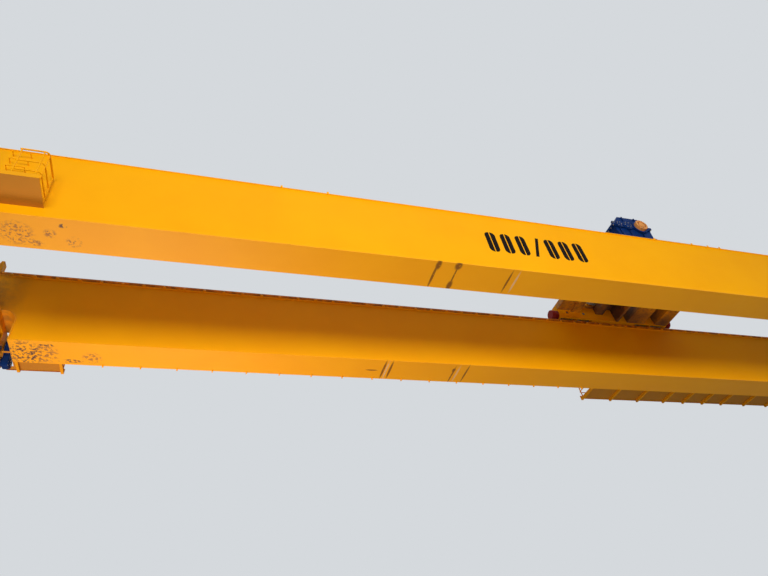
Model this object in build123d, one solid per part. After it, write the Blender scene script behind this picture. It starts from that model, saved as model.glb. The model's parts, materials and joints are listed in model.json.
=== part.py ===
from build123d import *
from math import cos, radians, sqrt
import os

# Double-girder overhead crane, millimetres.
# X runs along the girders, Y across the bridge, Z is up.
# The origin is the middle of the bridge, level with the lowest edge of the wheel flanges.

# Bridge, main sizes
span = 31500
girder_spacing = 4600
girder_depth = 2440
web_outside_width = 970
flange_overhang = 30
top_flange_thickness = 30
bottom_flange_thickness = 26
web_thickness = 14
deep_part_to_rail = 750
girder_tip_reach = 290
neck_height = 1050
neck_radius = 340
diaphragm_thickness = 10
diaphragm_count = 9
underside_over_rail = 80

# Runway wheels and bogies
flange_depth = 25
crane_wheel_diameter = 800
crane_wheel_tread = 150
wheel_flange_width = 25
bogie_spacing = 5500
bogie_wheel_pitch = 1100
bogie_width = 480
wheel_side_gap = 12
axle_diameter = 150
axle_box_diameter = 330
axle_box_depth = 60
bogie_pin_diameter = 160
bogie_pin_rise = 90
bogie_pin_reach = 15
wheel_rim = 100
wheel_dish_depth = 40
wheel_hub_diameter = 300

# End carriages
carriage_width = 660
carriage_plate = 20
carriage_depth = 550
carriage_length = 7800
carriage_arch_gap = 50
carriage_haunch = 180
yoke_radius = 170
yoke_shoulder = 200
buffer_diameter = 240
buffer_length = 200
buffer_plate_size = 360
buffer_plate_thickness = 25

# Travel drives, one on each bogie
drive_sleeve_length = 60
drive_sleeve_diameter = 264
drive_reducer_width = 180
drive_shaft_distance = 475
drive_lean = 250
drive_reducer_radius = 200
drive_upper_radius = 160
drive_cover_inset = 24
drive_cover_thickness = 14
adapter_diameter = 260
adapter_length = 80
motor_diameter = 360
motor_length = 620

# Motors of every size
motor_fin_height = 24
motor_fin_width = 9
motor_fin_count = 28
motor_collar = 36
fan_cover_length = 120
terminal_box_length = 200
terminal_box_width = 150
terminal_box_height = 60
coupling_length = 220
foot_width = 300
foot_inset = 90

# Platforms and handrails
platform_over_underside = 372
floor_thickness = 6
front_platform_width = 860
front_platform_length = 1700
rear_left_platform_width = 920
rear_left_platform_length = 1560
rear_right_platform_width = 1230
rear_right_platform_length = 10340
platform_to_rail = 370
bracket_height = 100
bracket_width = 80
bracket_inset = 40
bracket_channel_wall = 10
rear_left_bay = 1180
long_bay = 1345
long_bay_count = 3
short_bay = 1050
short_bay_count = 3
end_bay = 1310
end_bay_count = 2
kick_height = 100
edge_depth = 30
top_rail_tube = 42
knee_rail_tube = 30
post_tube = 36
handrail_bend = 90
post_web_gap = 60
knee_rail_height = 250
middle_rail_height = 590
handrail_height = 1030
short_rail_length = 600
post_pitch = 1300
gate_width = 1150
edge_inset = 30

# Climbing irons on the front girder
iron_to_rail = 1180
iron_width = 400
iron_pitch = 300
iron_bar = 20
iron_reach = 160
iron_start = 620

# Trolley rails, end stops and small brackets on the girders
trolley_gauge = 3800
rail_height = 170
rail_base = 170
rail_head = 120
rail_web = 44
rail_foot_thickness = 24
rail_head_thickness = 45
rail_foot_slope = 19
rail_past_stop = 190
stop_past_rail = 80
stop_thickness = 30
stop_height = 560
stop_width = 240
stop_brace = 200
stop_top_length = 80
lug_places = (-8100, -6750, 5000, 6650, 7390, 7930)
lug_size = 60
lug_thickness = 12
tab_pitch = 1285
tab_start = 415
tab_length = 70
tab_height = 60

# Trolley frame, its beams and rope wells named from left to right
trolley_x = 6375
end_beam_width = 620
motor_beam_width = 380
main_well_length = 810
drum_beam_width = 340
middle_bay_length = 630
sheave_well_length = 430
sheave_beam_width = 850
aux_well_length = 570
side_beam_width = 340
end_beam_depth = 235
motor_beam_depth = 315
deck_overhang = 140
frame_clearance = 210
frame_depth = 640
trolley_wheel_diameter = 630
trolley_wheel_tread = 140
trolley_wheel_pitch = 780
trolley_wheel_to_end = 425
trolley_axle_diameter = 120
trolley_box_diameter = 280
trolley_box_depth = 50
sheave_well_width = 3000
well_beam_width = 120
main_well_front_y = -100
aux_well_front_y = -380
beam_plate = 20
deck_thickness = 10
deck_gap = 140

# Main hoist
main_rope_inset = 480
main_axis_height = 630
middle_shaft_distance = 560
fast_shaft_distance = 400
housing_past_fast_shaft = 215
housing_past_main_shaft = 480
reducer_front_y = 2200
reducer_width = 720
reducer_height = 1170
reducer_bevel = 425
reducer_right_bevel = 260
reducer_foot_inset = 80
split_flange_depth = 90
split_flange_reach = 55
cap_diameter = 490
cap_reach = 140
cap_rim = 70
cap_groove = 45
cap_groove_depth = 60
main_boss_diameter = 640
middle_boss_diameter = 430
fast_boss_diameter = 320
boss_reach = 25
bolt_boss_width = 80
bolt_boss_height = 130
housing_rib = 30
housing_rib_reach = 42
hatch_length = 560
hatch_width = 400
hatch_thickness = 16
lifting_lug_height = 110
lifting_lug_thickness = 34
lifting_lug_hole = 50
drum_diameter = 1000
drum_length = 2880
drum_flange_diameter = 1140
drum_flange_thickness = 40
drum_groove_pitch = 110
drum_groove_depth = 16
shaft_diameter = 220
pedestal_thickness = 220
pedestal_width = 620
pedestal_cap = 130
hoist_coupling_length = 220
hoist_motor_diameter = 600
hoist_motor_length = 1050
hoist_foot_inset = 150
hoist_shaft_diameter = 110
brake_wheel_diameter = 500
brake_wheel_width = 90
brake_arm_width = 60
brake_arm_depth = 120

# Auxiliary hoist
aux_axis_height = 480
aux_fast_offset = 700
aux_housing_past_axis = 450
aux_housing_past_fast_shaft = 230
aux_reducer_width = 480
aux_reducer_height = 760
aux_reducer_bevel = 150
aux_reducer_long_bevel = 380
aux_drum_diameter = 700
aux_drum_length = 1900
aux_motor_diameter = 440
aux_motor_length = 760

# Upper sheaves, trolley drive and trolley buffers
sheave_diameter = 860
sheave_thickness = 90
sheave_pitch = 140
sheave_count = 6
sheave_axis_height = 520
sheave_rope_groove = 36
sheave_shaft_diameter = 180
cheek_thickness = 40
cheek_width = 720
cheek_foot_height = 60
trolley_drive_length = 380
trolley_drive_width = 300
trolley_drive_height = 520
trolley_drive_axis_height = 310
trolley_motor_diameter = 300
trolley_motor_length = 560
trolley_buffer_diameter = 380
trolley_buffer_length = 300
trolley_buffer_height = 430
trolley_buffer_core = 200
trolley_buffer_plate = 30
trolley_wheel_rim = 80
trolley_hub_diameter = 260
trolley_wheel_dish = 30

# Clearances
seat_gap = 0.3
run_gap = 40

# Heights and places that follow from the sizes above
rail_top_z = flange_depth
underside_z = rail_top_z + underside_over_rail
girder_top_z = underside_z + girder_depth
neck_z = underside_z + neck_height
girder_half = girder_spacing / 2
web_half = web_outside_width / 2
flange_half = web_half + flange_overhang
rail_x = span / 2
bottom_half = rail_x - deep_part_to_rail
girder_tip_x = rail_x + girder_tip_reach
axle_z = rail_top_z + crane_wheel_diameter / 2
wheel_flange_diameter = crane_wheel_diameter + 2 * flange_depth
bogie_y = bogie_spacing / 2
trolley_rail_y = trolley_gauge / 2
platform_z = underside_z + platform_over_underside
outer_web_y = girder_half + web_half
platform_outer_x = rail_x - platform_to_rail
iron_x = rail_x - iron_to_rail
stop_x = rail_x + stop_past_rail
rail_half_length = stop_x + rail_past_stop
deck_z = girder_top_z + frame_clearance + frame_depth
side_outer_y = trolley_rail_y + side_beam_width / 2
side_inner_y = trolley_rail_y - side_beam_width / 2
deck_edge_y = side_outer_y + deck_overhang

SIDES = (("front", -1), ("rear", 1))
ENDS = (("left", -1), ("right", 1))


def block(x0, x1, y0, y1, z0, z1):
    """Flat plate or bar between two corners."""
    size = Box(abs(x1 - x0), abs(y1 - y0), abs(z1 - z0))
    return Pos((x0 + x1) / 2, (y0 + y1) / 2, (z0 + z1) / 2) * size


def extrude_xz(face, y0, y1):
    """Profile drawn in X and Z, made solid from y0 to y1."""
    return Pos(0, max(y0, y1), 0) * extrude(Plane.XZ * face, amount=abs(y1 - y0))


def extrude_yz(face, x0, x1):
    """Profile drawn in Y and Z, made solid from x0 to x1."""
    return Pos(min(x0, x1), 0, 0) * extrude(Plane.YZ * face, amount=abs(x1 - x0))


def round_x(diameter, x0, x1, y, z):
    """Round bar along X."""
    return Pos((x0 + x1) / 2, y, z) * Rot(0, 90, 0) * Cylinder(diameter / 2, abs(x1 - x0))


def round_y(diameter, x, y0, y1, z):
    """Round bar along Y."""
    return Pos(x, (y0 + y1) / 2, z) * Rot(90, 0, 0) * Cylinder(diameter / 2, abs(y1 - y0))


def round_z(diameter, x, y, z0, z1):
    """Round bar along Z."""
    return Pos(x, y, (z0 + z1) / 2) * Cylinder(diameter / 2, abs(z1 - z0))


def save(name, *pieces):
    """Write one node; pieces that don't touch stay separate solids."""
    solids = [solid for piece in pieces for solid in piece.solids()]
    shape = solids[0] if len(solids) == 1 else Compound(solids)
    export_step(shape, os.path.join("parts", name + ".step"))


def polygon(*points):
    """Closed flat face through the points."""
    return make_face(Polyline(*points, close=True))


# Girders

def girder_face(bottom_inset, top_inset):
    """Side view of a girder, with the necked ends and their round inner corners."""
    half = bottom_half - bottom_inset
    low = underside_z + bottom_inset
    high = girder_top_z - top_inset
    neck = neck_z + bottom_inset
    radius = neck_radius + bottom_inset
    diagonal = radius * cos(radians(45))
    centre_x = bottom_half + neck_radius
    centre_z = neck_z - neck_radius
    right = (
        Line((half, low), (half, centre_z))
        + ThreePointArc(
            (half, centre_z),
            (centre_x - diagonal, centre_z + diagonal),
            (centre_x, neck),
        )
        + Line((centre_x, neck), (girder_tip_x, neck))
        + Line((girder_tip_x, neck), (girder_tip_x, high))
    )
    left = (
        Line((-half, low), (-half, centre_z))
        + ThreePointArc(
            (-half, centre_z),
            (-centre_x + diagonal, centre_z + diagonal),
            (-centre_x, neck),
        )
        + Line((-centre_x, neck), (-girder_tip_x, neck))
        + Line((-girder_tip_x, neck), (-girder_tip_x, high))
    )
    low_edge = Line((-half, low), (half, low))
    high_edge = Line((-girder_tip_x, high), (girder_tip_x, high))
    return make_face(right + left + low_edge + high_edge)


def make_girder(name, side):
    """One box girder from its flanges, webs and diaphragms."""
    centre = side * girder_half
    y0 = centre - flange_half
    y1 = centre + flange_half
    top = block(
        -girder_tip_x, girder_tip_x, y0, y1, girder_top_z - top_flange_thickness, girder_top_z
    )
    save(name + "_girder_top_flange", top)

    # The bottom flange turns up at the end, round the neck and out over the end carriage.
    band = girder_face(0, top_flange_thickness) - girder_face(bottom_flange_thickness, top_flange_thickness)
    save(name + "_girder_bottom_flange", extrude_xz(band, y0, y1))

    web = girder_face(bottom_flange_thickness, top_flange_thickness)
    inner = centre - side * web_half
    outer = centre + side * web_half
    save(name + "_girder_inner_web", extrude_xz(web, inner, inner + side * web_thickness))
    save(name + "_girder_outer_web", extrude_xz(web, outer, outer - side * web_thickness))


def make_diaphragms():
    """Cross plates inside both girders and the plates that close their ends."""
    clear = web_half - web_thickness
    low = underside_z + bottom_flange_thickness
    neck_low = neck_z + bottom_flange_thickness
    high = girder_top_z - top_flange_thickness
    step = 2 * bottom_half / (diaphragm_count + 1)
    plates = []
    for _, side in SIDES:
        y0 = side * girder_half - clear
        y1 = side * girder_half + clear
        for index in range(diaphragm_count):
            x = step * (index + 1) - bottom_half
            plates.append(block(x, x + diaphragm_thickness, y0, y1, low, high))
        for _, end in ENDS:
            x = end * girder_tip_x
            plates.append(block(x - end * diaphragm_thickness, x, y0, y1, neck_low, high))
    save("girder_diaphragms", *plates)


def rail_face():
    """Crane rail section standing on the girder."""
    base = rail_base / 2
    head = rail_head / 2
    web = rail_web / 2
    slope = rail_foot_slope
    return polygon(
        (-base, 0), (base, 0), (base, rail_foot_thickness),
        (web, rail_foot_thickness + slope), (web, rail_height - rail_head_thickness - slope),
        (head, rail_height - rail_head_thickness), (head, rail_height),
        (-head, rail_height), (-head, rail_height - rail_head_thickness),
        (-web, rail_height - rail_head_thickness - slope), (-web, rail_foot_thickness + slope),
        (-base, rail_foot_thickness),
    )


def make_trolley_rails():
    rail = extrude_yz(rail_face(), -rail_half_length, rail_half_length)
    rails = [Pos(0, side * trolley_rail_y, girder_top_z) * rail for _, side in SIDES]
    save("trolley_rails", *rails)


def make_end_stops():
    """Braced plates at both ends of both trolley rails, bolted over the girder."""
    stops = []
    offset = rail_base / 2 + seat_gap
    for _, side in SIDES:
        for _, end in ENDS:
            face = polygon(
                (end * stop_x, rail_height), (end * (stop_x + stop_brace), rail_height),
                (end * (stop_x + stop_top_length), stop_height), (end * stop_x, stop_height),
            )
            body = extrude_xz(face, -stop_width / 2, stop_width / 2)
            middle = block(
                end * (stop_x + stop_thickness), end * (stop_x + stop_brace),
                -stop_width / 2 + stop_thickness, stop_width / 2 - stop_thickness,
                rail_height, stop_height,
            )
            stop = body - middle
            for cheek in (-1, 1):
                stop = stop + block(
                    end * stop_x, end * (stop_x + stop_brace),
                    cheek * offset, cheek * stop_width / 2, 0, rail_height,
                )
            stops.append(Pos(0, side * trolley_rail_y, girder_top_z) * stop)
    save("trolley_end_stops", *stops)


def make_lugs():
    """Small brackets that stand on the front girder's top edge."""
    y0 = -girder_half - flange_half
    save("girder_top_lugs", *[
        block(x - lug_size / 2, x + lug_size / 2, y0, y0 - lug_thickness,
              girder_top_z - top_flange_thickness, girder_top_z + lug_size)
        for x in lug_places
    ])


def make_tabs():
    """Cable tabs along the outer bottom edge of the rear girder."""
    tabs = []
    low_x = rear_left_platform_length - platform_outer_x + tab_start
    high_x = platform_outer_x - rear_right_platform_length - tab_start
    count = int((high_x - low_x) / tab_pitch) + 1
    for index in range(count):
        x = low_x + tab_pitch * index
        tabs.append(block(
            x - tab_length / 2, x + tab_length / 2,
            outer_web_y, outer_web_y + tab_height,
            underside_z + bottom_flange_thickness,
            underside_z + bottom_flange_thickness + lug_thickness,
        ))
    save("rear_girder_cable_tabs", *tabs)


def make_climbing_irons():
    """U-shaped rungs welded to the outer web of the front girder."""
    irons = []
    first = platform_z + iron_start
    count = int((girder_top_z - first - iron_pitch / 2) / iron_pitch) + 1
    y_web = -outer_web_y
    for index in range(count):
        z = first + iron_pitch * index
        y_bar = y_web - iron_reach
        bar = round_x(iron_bar, -iron_x - iron_width / 2 - iron_bar / 2,
                      -iron_x + iron_width / 2 + iron_bar / 2, y_bar, z)
        for end in (-1, 1):
            x = -iron_x + end * iron_width / 2
            bar = bar + round_y(iron_bar, x, y_bar, y_web, z)
        irons.append(bar)
    save("climbing_irons", *irons)


# End carriages and bogies

carriage_half = carriage_length / 2
arch_z = rail_top_z + wheel_flange_diameter - flange_depth + carriage_arch_gap
pin_z = axle_z + bogie_pin_rise


def carriage_face(plate):
    """Side view of an end carriage: deep middle, arches over the wheels and yokes at the pins."""
    half = carriage_half - plate
    top = neck_z - plate
    low = neck_z - carriage_depth + plate
    arch = arch_z + plate
    slope = bogie_y - bogie_wheel_pitch / 2 - wheel_flange_diameter / 2 - carriage_arch_gap
    points = [
        (-half, top), (half, top), (half, arch), (slope, arch), (slope - carriage_haunch, low),
        (carriage_haunch - slope, low), (-slope, arch), (-half, arch),
    ]
    return polygon(*points)


def yoke_face(centre):
    """Side view of the cheek that comes down round a bogie pin."""
    skirt = polygon(
        (centre - yoke_shoulder, arch_z + carriage_plate), (centre + yoke_shoulder, arch_z + carriage_plate),
        (centre + yoke_radius, pin_z), (centre - yoke_radius, pin_z),
    )
    return skirt + Pos(centre, pin_z) * Circle(yoke_radius)


def make_end_carriage(name, end):
    x0 = end * rail_x - carriage_width / 2
    x1 = end * rail_x + carriage_width / 2
    body = extrude_yz(carriage_face(0), x0, x1)
    body = body - extrude_yz(carriage_face(carriage_plate), x0 + carriage_plate, x1 - carriage_plate)
    for side in (-1, 1):
        centre = side * bogie_y
        for cheek in (x0, x1 - carriage_plate):
            body = body + extrude_yz(yoke_face(centre), cheek, cheek + carriage_plate)
        body = body - round_x(bogie_pin_diameter + 2 * seat_gap, x0, x1, centre, pin_z)
    save(name + "_end_carriage", body)


def make_bogies():
    for end_name, end in ENDS:
        frames = []
        for _, side in SIDES:
            x = end * rail_x
            y = side * bogie_y
            half = bogie_width / 2
            reach = bogie_wheel_pitch / 2
            arm = Pos(y, axle_z) * SlotCenterToCenter(2 * reach, axle_box_diameter)
            saddle = polygon(
                (y - 2 * yoke_radius, axle_z), (y + 2 * yoke_radius, axle_z),
                (y + yoke_radius, pin_z + bogie_pin_diameter), (y - yoke_radius, pin_z + bogie_pin_diameter),
            )
            frame = extrude_yz(arm + saddle, x - half, x + half)
            pocket = wheel_flange_diameter + 2 * carriage_arch_gap
            gap = crane_wheel_tread / 2 + wheel_flange_width + wheel_side_gap
            for wheel in (-1, 1):
                centre = y + wheel * reach
                inner = centre - wheel * (wheel_flange_diameter / 2 + run_gap / 2)
                frame = frame - block(
                    x - gap, x + gap, inner, inner + wheel * pocket, 0, neck_z
                )
                for cheek in (-1, 1):
                    face = x + cheek * half
                    box_face = face + cheek * axle_box_depth
                    frame = frame + round_x(axle_box_diameter, face, box_face, centre, axle_z)
                frame = frame - round_x(axle_diameter, x - half - axle_box_depth,
                                        x + half + axle_box_depth, centre, axle_z)
            frame = frame - round_x(bogie_pin_diameter, x - half, x + half, y, pin_z)
            frames.append(frame)
        save(end_name + "_bogies", *frames)


def crane_wheel(x, y):
    """Double-flanged wheel with its axle."""
    half = crane_wheel_tread / 2
    width = half + wheel_flange_width
    wheel = round_x(crane_wheel_diameter, x - half, x + half, y, axle_z)
    for cheek in (-1, 1):
        wheel = wheel + round_x(wheel_flange_diameter, x + cheek * half, x + cheek * width, y, axle_z)
        face = x + cheek * width
        bottom = x + cheek * (width - wheel_dish_depth)
        dish = round_x(crane_wheel_diameter - 2 * wheel_rim, face, bottom, y, axle_z)
        hub = round_x(wheel_hub_diameter, face, bottom, y, axle_z)
        wheel = wheel - (dish - hub)
    reach = bogie_width / 2 + axle_box_depth
    return wheel + round_x(axle_diameter, x - reach, x + reach, y, axle_z)


def make_crane_wheels():
    for name, end in ENDS:
        wheels = [
            crane_wheel(end * rail_x, side * bogie_y + wheel * bogie_wheel_pitch / 2)
            for side in (-1, 1) for wheel in (-1, 1)
        ]
        save(name + "_crane_wheels", *wheels)


def make_bogie_pins():
    pins = [
        round_x(bogie_pin_diameter, end * rail_x - carriage_width / 2 - bogie_pin_reach,
                end * rail_x + carriage_width / 2 + bogie_pin_reach, side * bogie_y, pin_z)
        for side in (-1, 1) for end in (-1, 1)
    ]
    save("bogie_pins", *pins)


def make_crane_buffers():
    buffers = []
    z = (arch_z + neck_z) / 2
    for side in (-1, 1):
        for end in (-1, 1):
            x = end * rail_x
            y = side * carriage_half
            plate = block(x - buffer_plate_size / 2, x + buffer_plate_size / 2,
                          y, y + side * buffer_plate_thickness,
                          arch_z, neck_z)
            tube = round_y(buffer_diameter, x, y + side * buffer_plate_thickness,
                           y + side * buffer_length, z)
            buffers.append(plate + tube)
    save("crane_buffers", *buffers)


# Motors

def motor(diameter, length):
    """Finned motor along X from 0 to its length, with end collars, fan cover and terminal box on top."""
    core = diameter / 2 - motor_fin_height
    fin = Pos(core, 0) * Rectangle(2 * motor_fin_height, motor_fin_width)
    fins = [Rot(0, 0, 360 * index / motor_fin_count) * fin for index in range(motor_fin_count)]
    body = extrude_yz(Circle(core) + fins, motor_collar, length - fan_cover_length)
    body = body + round_x(diameter, 0, motor_collar, 0, 0)
    cover = round_x(diameter, length - fan_cover_length, length, 0, 0)
    rim = cover.edges().filter_by(GeomType.CIRCLE).sort_by(Axis.X)[-1]
    body = body + fillet(rim, motor_fin_height)
    middle = length / 2
    return body + block(
        middle - terminal_box_length / 2, middle + terminal_box_length / 2,
        -terminal_box_width / 2, terminal_box_width / 2, core - motor_fin_height,
        diameter / 2 + terminal_box_height,
    )


# Travel drives on the bogies' outer wheels, leaning in towards the girder

drive_y = bogie_y + bogie_wheel_pitch / 2
drive_face_x = rail_x - bogie_width / 2 - axle_box_depth
drive_near_x = drive_face_x - drive_sleeve_length
drive_far_x = drive_near_x - drive_reducer_width
motor_y = drive_y - drive_lean
motor_z = axle_z + sqrt(drive_shaft_distance ** 2 - drive_lean ** 2)


def drive_outline(side, inset):
    """Side view of a reducer: two rounds, at the wheel axle and at the motor, and their common tangents."""
    lower = Pos(side * drive_y, axle_z) * Circle(drive_reducer_radius - inset)
    upper = Pos(side * motor_y, motor_z) * Circle(drive_upper_radius - inset)
    return make_hull((lower + upper).edges())


def make_travel_drives():
    """Hollow-shaft reducers hung on the wheel axles, with flanged motors."""
    reducers = []
    motors = []
    travel_motor = motor(motor_diameter, motor_length)
    for side in (-1, 1):
        for end in (-1, 1):
            near = end * drive_near_x
            far = end * drive_far_x
            body = extrude_yz(drive_outline(side, drive_cover_inset), near, far)
            rim = drive_reducer_width / 2 - drive_cover_thickness
            middle = (near + far) / 2
            body = body + extrude_yz(drive_outline(side, 0), middle - rim, middle + rim)
            body = body + round_x(drive_sleeve_diameter, near, end * drive_face_x, side * drive_y, axle_z)
            adapter = far - end * adapter_length
            body = body + round_x(adapter_diameter, far, adapter, side * motor_y, motor_z)
            reducers.append(body)
            turn = Rot(0, 0, 180) if end > 0 else Rot(0, 0, 0)
            motors.append(Pos(adapter, side * motor_y, motor_z) * turn * travel_motor)
    save("travel_reducers", *reducers)
    save("travel_motors", *motors)


# Platforms and handrails

def bracket(side, x, width):
    """Channel welded to the outer web, open at its back, under the floor."""
    y0 = side * outer_web_y
    y1 = side * (outer_web_y + width)
    low = platform_z - bracket_height
    wall = bracket_channel_wall
    channel = block(x - bracket_width / 2, x + bracket_width / 2, y0, y1, low, platform_z)
    hollow = block(x - bracket_width / 2 + wall, x + bracket_width / 2, y0, y1 - side * wall,
                   low + wall, platform_z - floor_thickness)
    return channel - hollow


def platform(side, end, width, length, bays):
    """Floor with a kick plate, cut out round the travel drive; on brackets, or a closed box where no bays."""
    inner_x = platform_outer_x - length
    y0 = side * outer_web_y
    y1 = side * (outer_web_y + width)
    depth = floor_thickness if bays else edge_depth
    floor = block(end * inner_x, end * platform_outer_x, y0, y1, platform_z - depth, platform_z)
    floor = floor + block(
        end * inner_x, end * platform_outer_x, y1 - side * floor_thickness, y1,
        platform_z - edge_depth, platform_z + kick_height,
    )
    x = inner_x + bracket_inset
    for bay in bays:
        floor = floor + bracket(side, end * x, width)
        x = x + bay
    if bays:
        floor = floor + bracket(side, end * x, width)
    neck_gap = block(
        end * (bottom_half - bottom_flange_thickness - seat_gap), end * platform_outer_x, y0,
        y0 + side * (flange_overhang + seat_gap), 0, neck_z,
    )
    drive_gap = block(
        end * (drive_far_x - run_gap), end * platform_outer_x,
        side * (motor_y - drive_upper_radius), side * (drive_y + drive_reducer_radius + run_gap),
        0, neck_z,
    )
    return floor - neck_gap - drive_gap


def bent_tube(diameter, bend, *points):
    """Round tube along straight runs with a bend at each corner."""
    path = FilletPolyline(*points, radius=bend)
    start = Plane(origin=path @ 0, z_dir=path % 0)
    return sweep(start * Circle(diameter / 2), path=path)


def handrail(side, end, width, length, side_length):
    """Bent tubes across the inner end and along the outer edge, on round posts."""
    y0 = side * (outer_web_y + post_web_gap)
    y1 = side * (outer_web_y + width - edge_inset)
    x0 = end * (platform_outer_x - length + edge_inset)
    x1 = x0 + end * side_length
    top_z = platform_z + handrail_height
    rails = bent_tube(top_rail_tube, handrail_bend, (x0, y0, top_z), (x0, y1, top_z), (x1, y1, top_z))
    for height in (knee_rail_height, middle_rail_height):
        z = platform_z + height
        rails = rails + bent_tube(knee_rail_tube, handrail_bend, (x0, y0, z), (x0, y1, z), (x1, y1, z))
    first = x0 + end * handrail_bend
    count = max(1, round(side_length / post_pitch))
    feet = [(x0, y0 + side * post_tube), (x0, y1 - side * handrail_bend)]
    feet = feet + [(first + (x1 - end * post_tube - first) * index / count, y1) for index in range(count + 1)]
    for x, y in feet:
        rails = rails + round_z(post_tube, x, y, platform_z, top_z)
    return rails


def make_platforms():
    """Drive platforms at all four corners; the rear right one runs on along the girder."""
    long_side = rear_right_platform_length - gate_width - edge_inset
    front = [(-1, end, front_platform_width, front_platform_length) for _, end in ENDS]
    rear = [
        (1, -1, rear_left_platform_width, rear_left_platform_length),
        (1, 1, rear_right_platform_width, rear_right_platform_length),
    ]
    long_bays = (long_bay,) * long_bay_count + (short_bay,) * short_bay_count + (end_bay,) * end_bay_count
    save("front_platforms", *[platform(*place, ()) for place in front])
    save("rear_platforms", platform(*rear[0], (rear_left_bay,)), platform(*rear[1], long_bays))
    save("front_handrails", *[handrail(*place, short_rail_length) for place in front])
    save("rear_handrails", handrail(*rear[0], short_rail_length), handrail(*rear[1], long_side))


# Trolley frame

frame_low_z = girder_top_z + frame_clearance
beam_top_z = deck_z - deck_thickness
frame_length = (
    end_beam_width + motor_beam_width + main_well_length + drum_beam_width + middle_bay_length
    + sheave_well_length + sheave_beam_width + aux_well_length + end_beam_width
)
frame_half = frame_length / 2
trolley_axle_z = girder_top_z + rail_height + trolley_wheel_diameter / 2
trolley_flange_diameter = trolley_wheel_diameter + 2 * flange_depth
outer_wheel_place = frame_half - trolley_wheel_to_end
wheel_places = [
    sign * place for place in (outer_wheel_place - trolley_wheel_pitch, outer_wheel_place)
    for sign in (-1, 1)
]

# Each beam and well as its left and right edge
main_well_left = end_beam_width + motor_beam_width - frame_half
main_well = (main_well_left, main_well_left + main_well_length)
drum_beam = (main_well[1], main_well[1] + drum_beam_width)
sheave_well_left = drum_beam[1] + middle_bay_length
sheave_well = (sheave_well_left, sheave_well_left + sheave_well_length)
sheave_beam = (sheave_well[1], sheave_well[1] + sheave_beam_width)
aux_well = (sheave_beam[1], sheave_beam[1] + aux_well_length)


def on_trolley(shape):
    """Move a piece from the trolley's own middle to its place on the bridge."""
    return Pos(trolley_x, 0, 0) * shape


def side_beam(side):
    """Box over one rail, with a pocket and an axle box at each wheel."""
    y = side * trolley_rail_y
    inner = y - side * side_beam_width / 2
    outer = y + side * side_beam_width / 2
    box_face = outer + side * trolley_box_depth
    pocket = trolley_wheel_tread / 2 + wheel_flange_width + wheel_side_gap
    pocket_top_z = trolley_axle_z + trolley_flange_diameter / 2 + wheel_side_gap
    pocket_half = (trolley_flange_diameter + run_gap) / 2
    beam = block(-frame_half, frame_half, inner, outer, frame_low_z, beam_top_z)
    for place in wheel_places:
        beam = beam - block(
            place - pocket_half, place + pocket_half,
            y - pocket, y + pocket, frame_low_z, pocket_top_z,
        )
        beam = beam + round_y(trolley_box_diameter, place, outer, box_face, trolley_axle_z)
        beam = beam - round_y(trolley_axle_diameter, place, inner, box_face, trolley_axle_z)
    return on_trolley(beam)


def trolley_wheel(side, place):
    """Double-flanged wheel with its axle."""
    y = side * trolley_rail_y
    half = trolley_wheel_tread / 2
    width = half + wheel_flange_width
    wheel = round_y(trolley_wheel_diameter, place, y - half, y + half, trolley_axle_z)
    for cheek in (-1, 1):
        face = y + cheek * width
        wheel = wheel + round_y(trolley_flange_diameter, place, y + cheek * half, face, trolley_axle_z)
        bottom = face - cheek * trolley_wheel_dish
        dish = round_y(trolley_wheel_diameter - 2 * trolley_wheel_rim, place, face, bottom, trolley_axle_z)
        wheel = wheel - (dish - round_y(trolley_hub_diameter, place, face, bottom, trolley_axle_z))
    inner = y - side * side_beam_width / 2
    outer = y + side * (side_beam_width / 2 + trolley_box_depth)
    return on_trolley(wheel + round_y(trolley_axle_diameter, place, inner, outer, trolley_axle_z))


def cross_beam(x0, x1, low_z):
    """Box beam between the side beams, open inside."""
    outer = block(x0, x1, -side_inner_y, side_inner_y, low_z, beam_top_z)
    inner = block(
        x0 + beam_plate, x1 - beam_plate, -side_inner_y, side_inner_y,
        low_z + beam_plate, beam_top_z - beam_plate,
    )
    return on_trolley(outer - inner)


main_axis_x = main_well[1] + drum_diameter / 2 - main_rope_inset
middle_axis_x = main_axis_x - middle_shaft_distance
fast_axis_x = middle_axis_x - fast_shaft_distance
reducer_left_x = fast_axis_x - housing_past_fast_shaft
reducer_right_x = main_axis_x + housing_past_main_shaft
main_axis_z = deck_z + main_axis_height
reducer_back_y = -reducer_front_y + reducer_width
main_drum_y = reducer_back_y + hoist_coupling_length
aux_axis_x = (aux_well[0] + aux_well[1]) / 2


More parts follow.
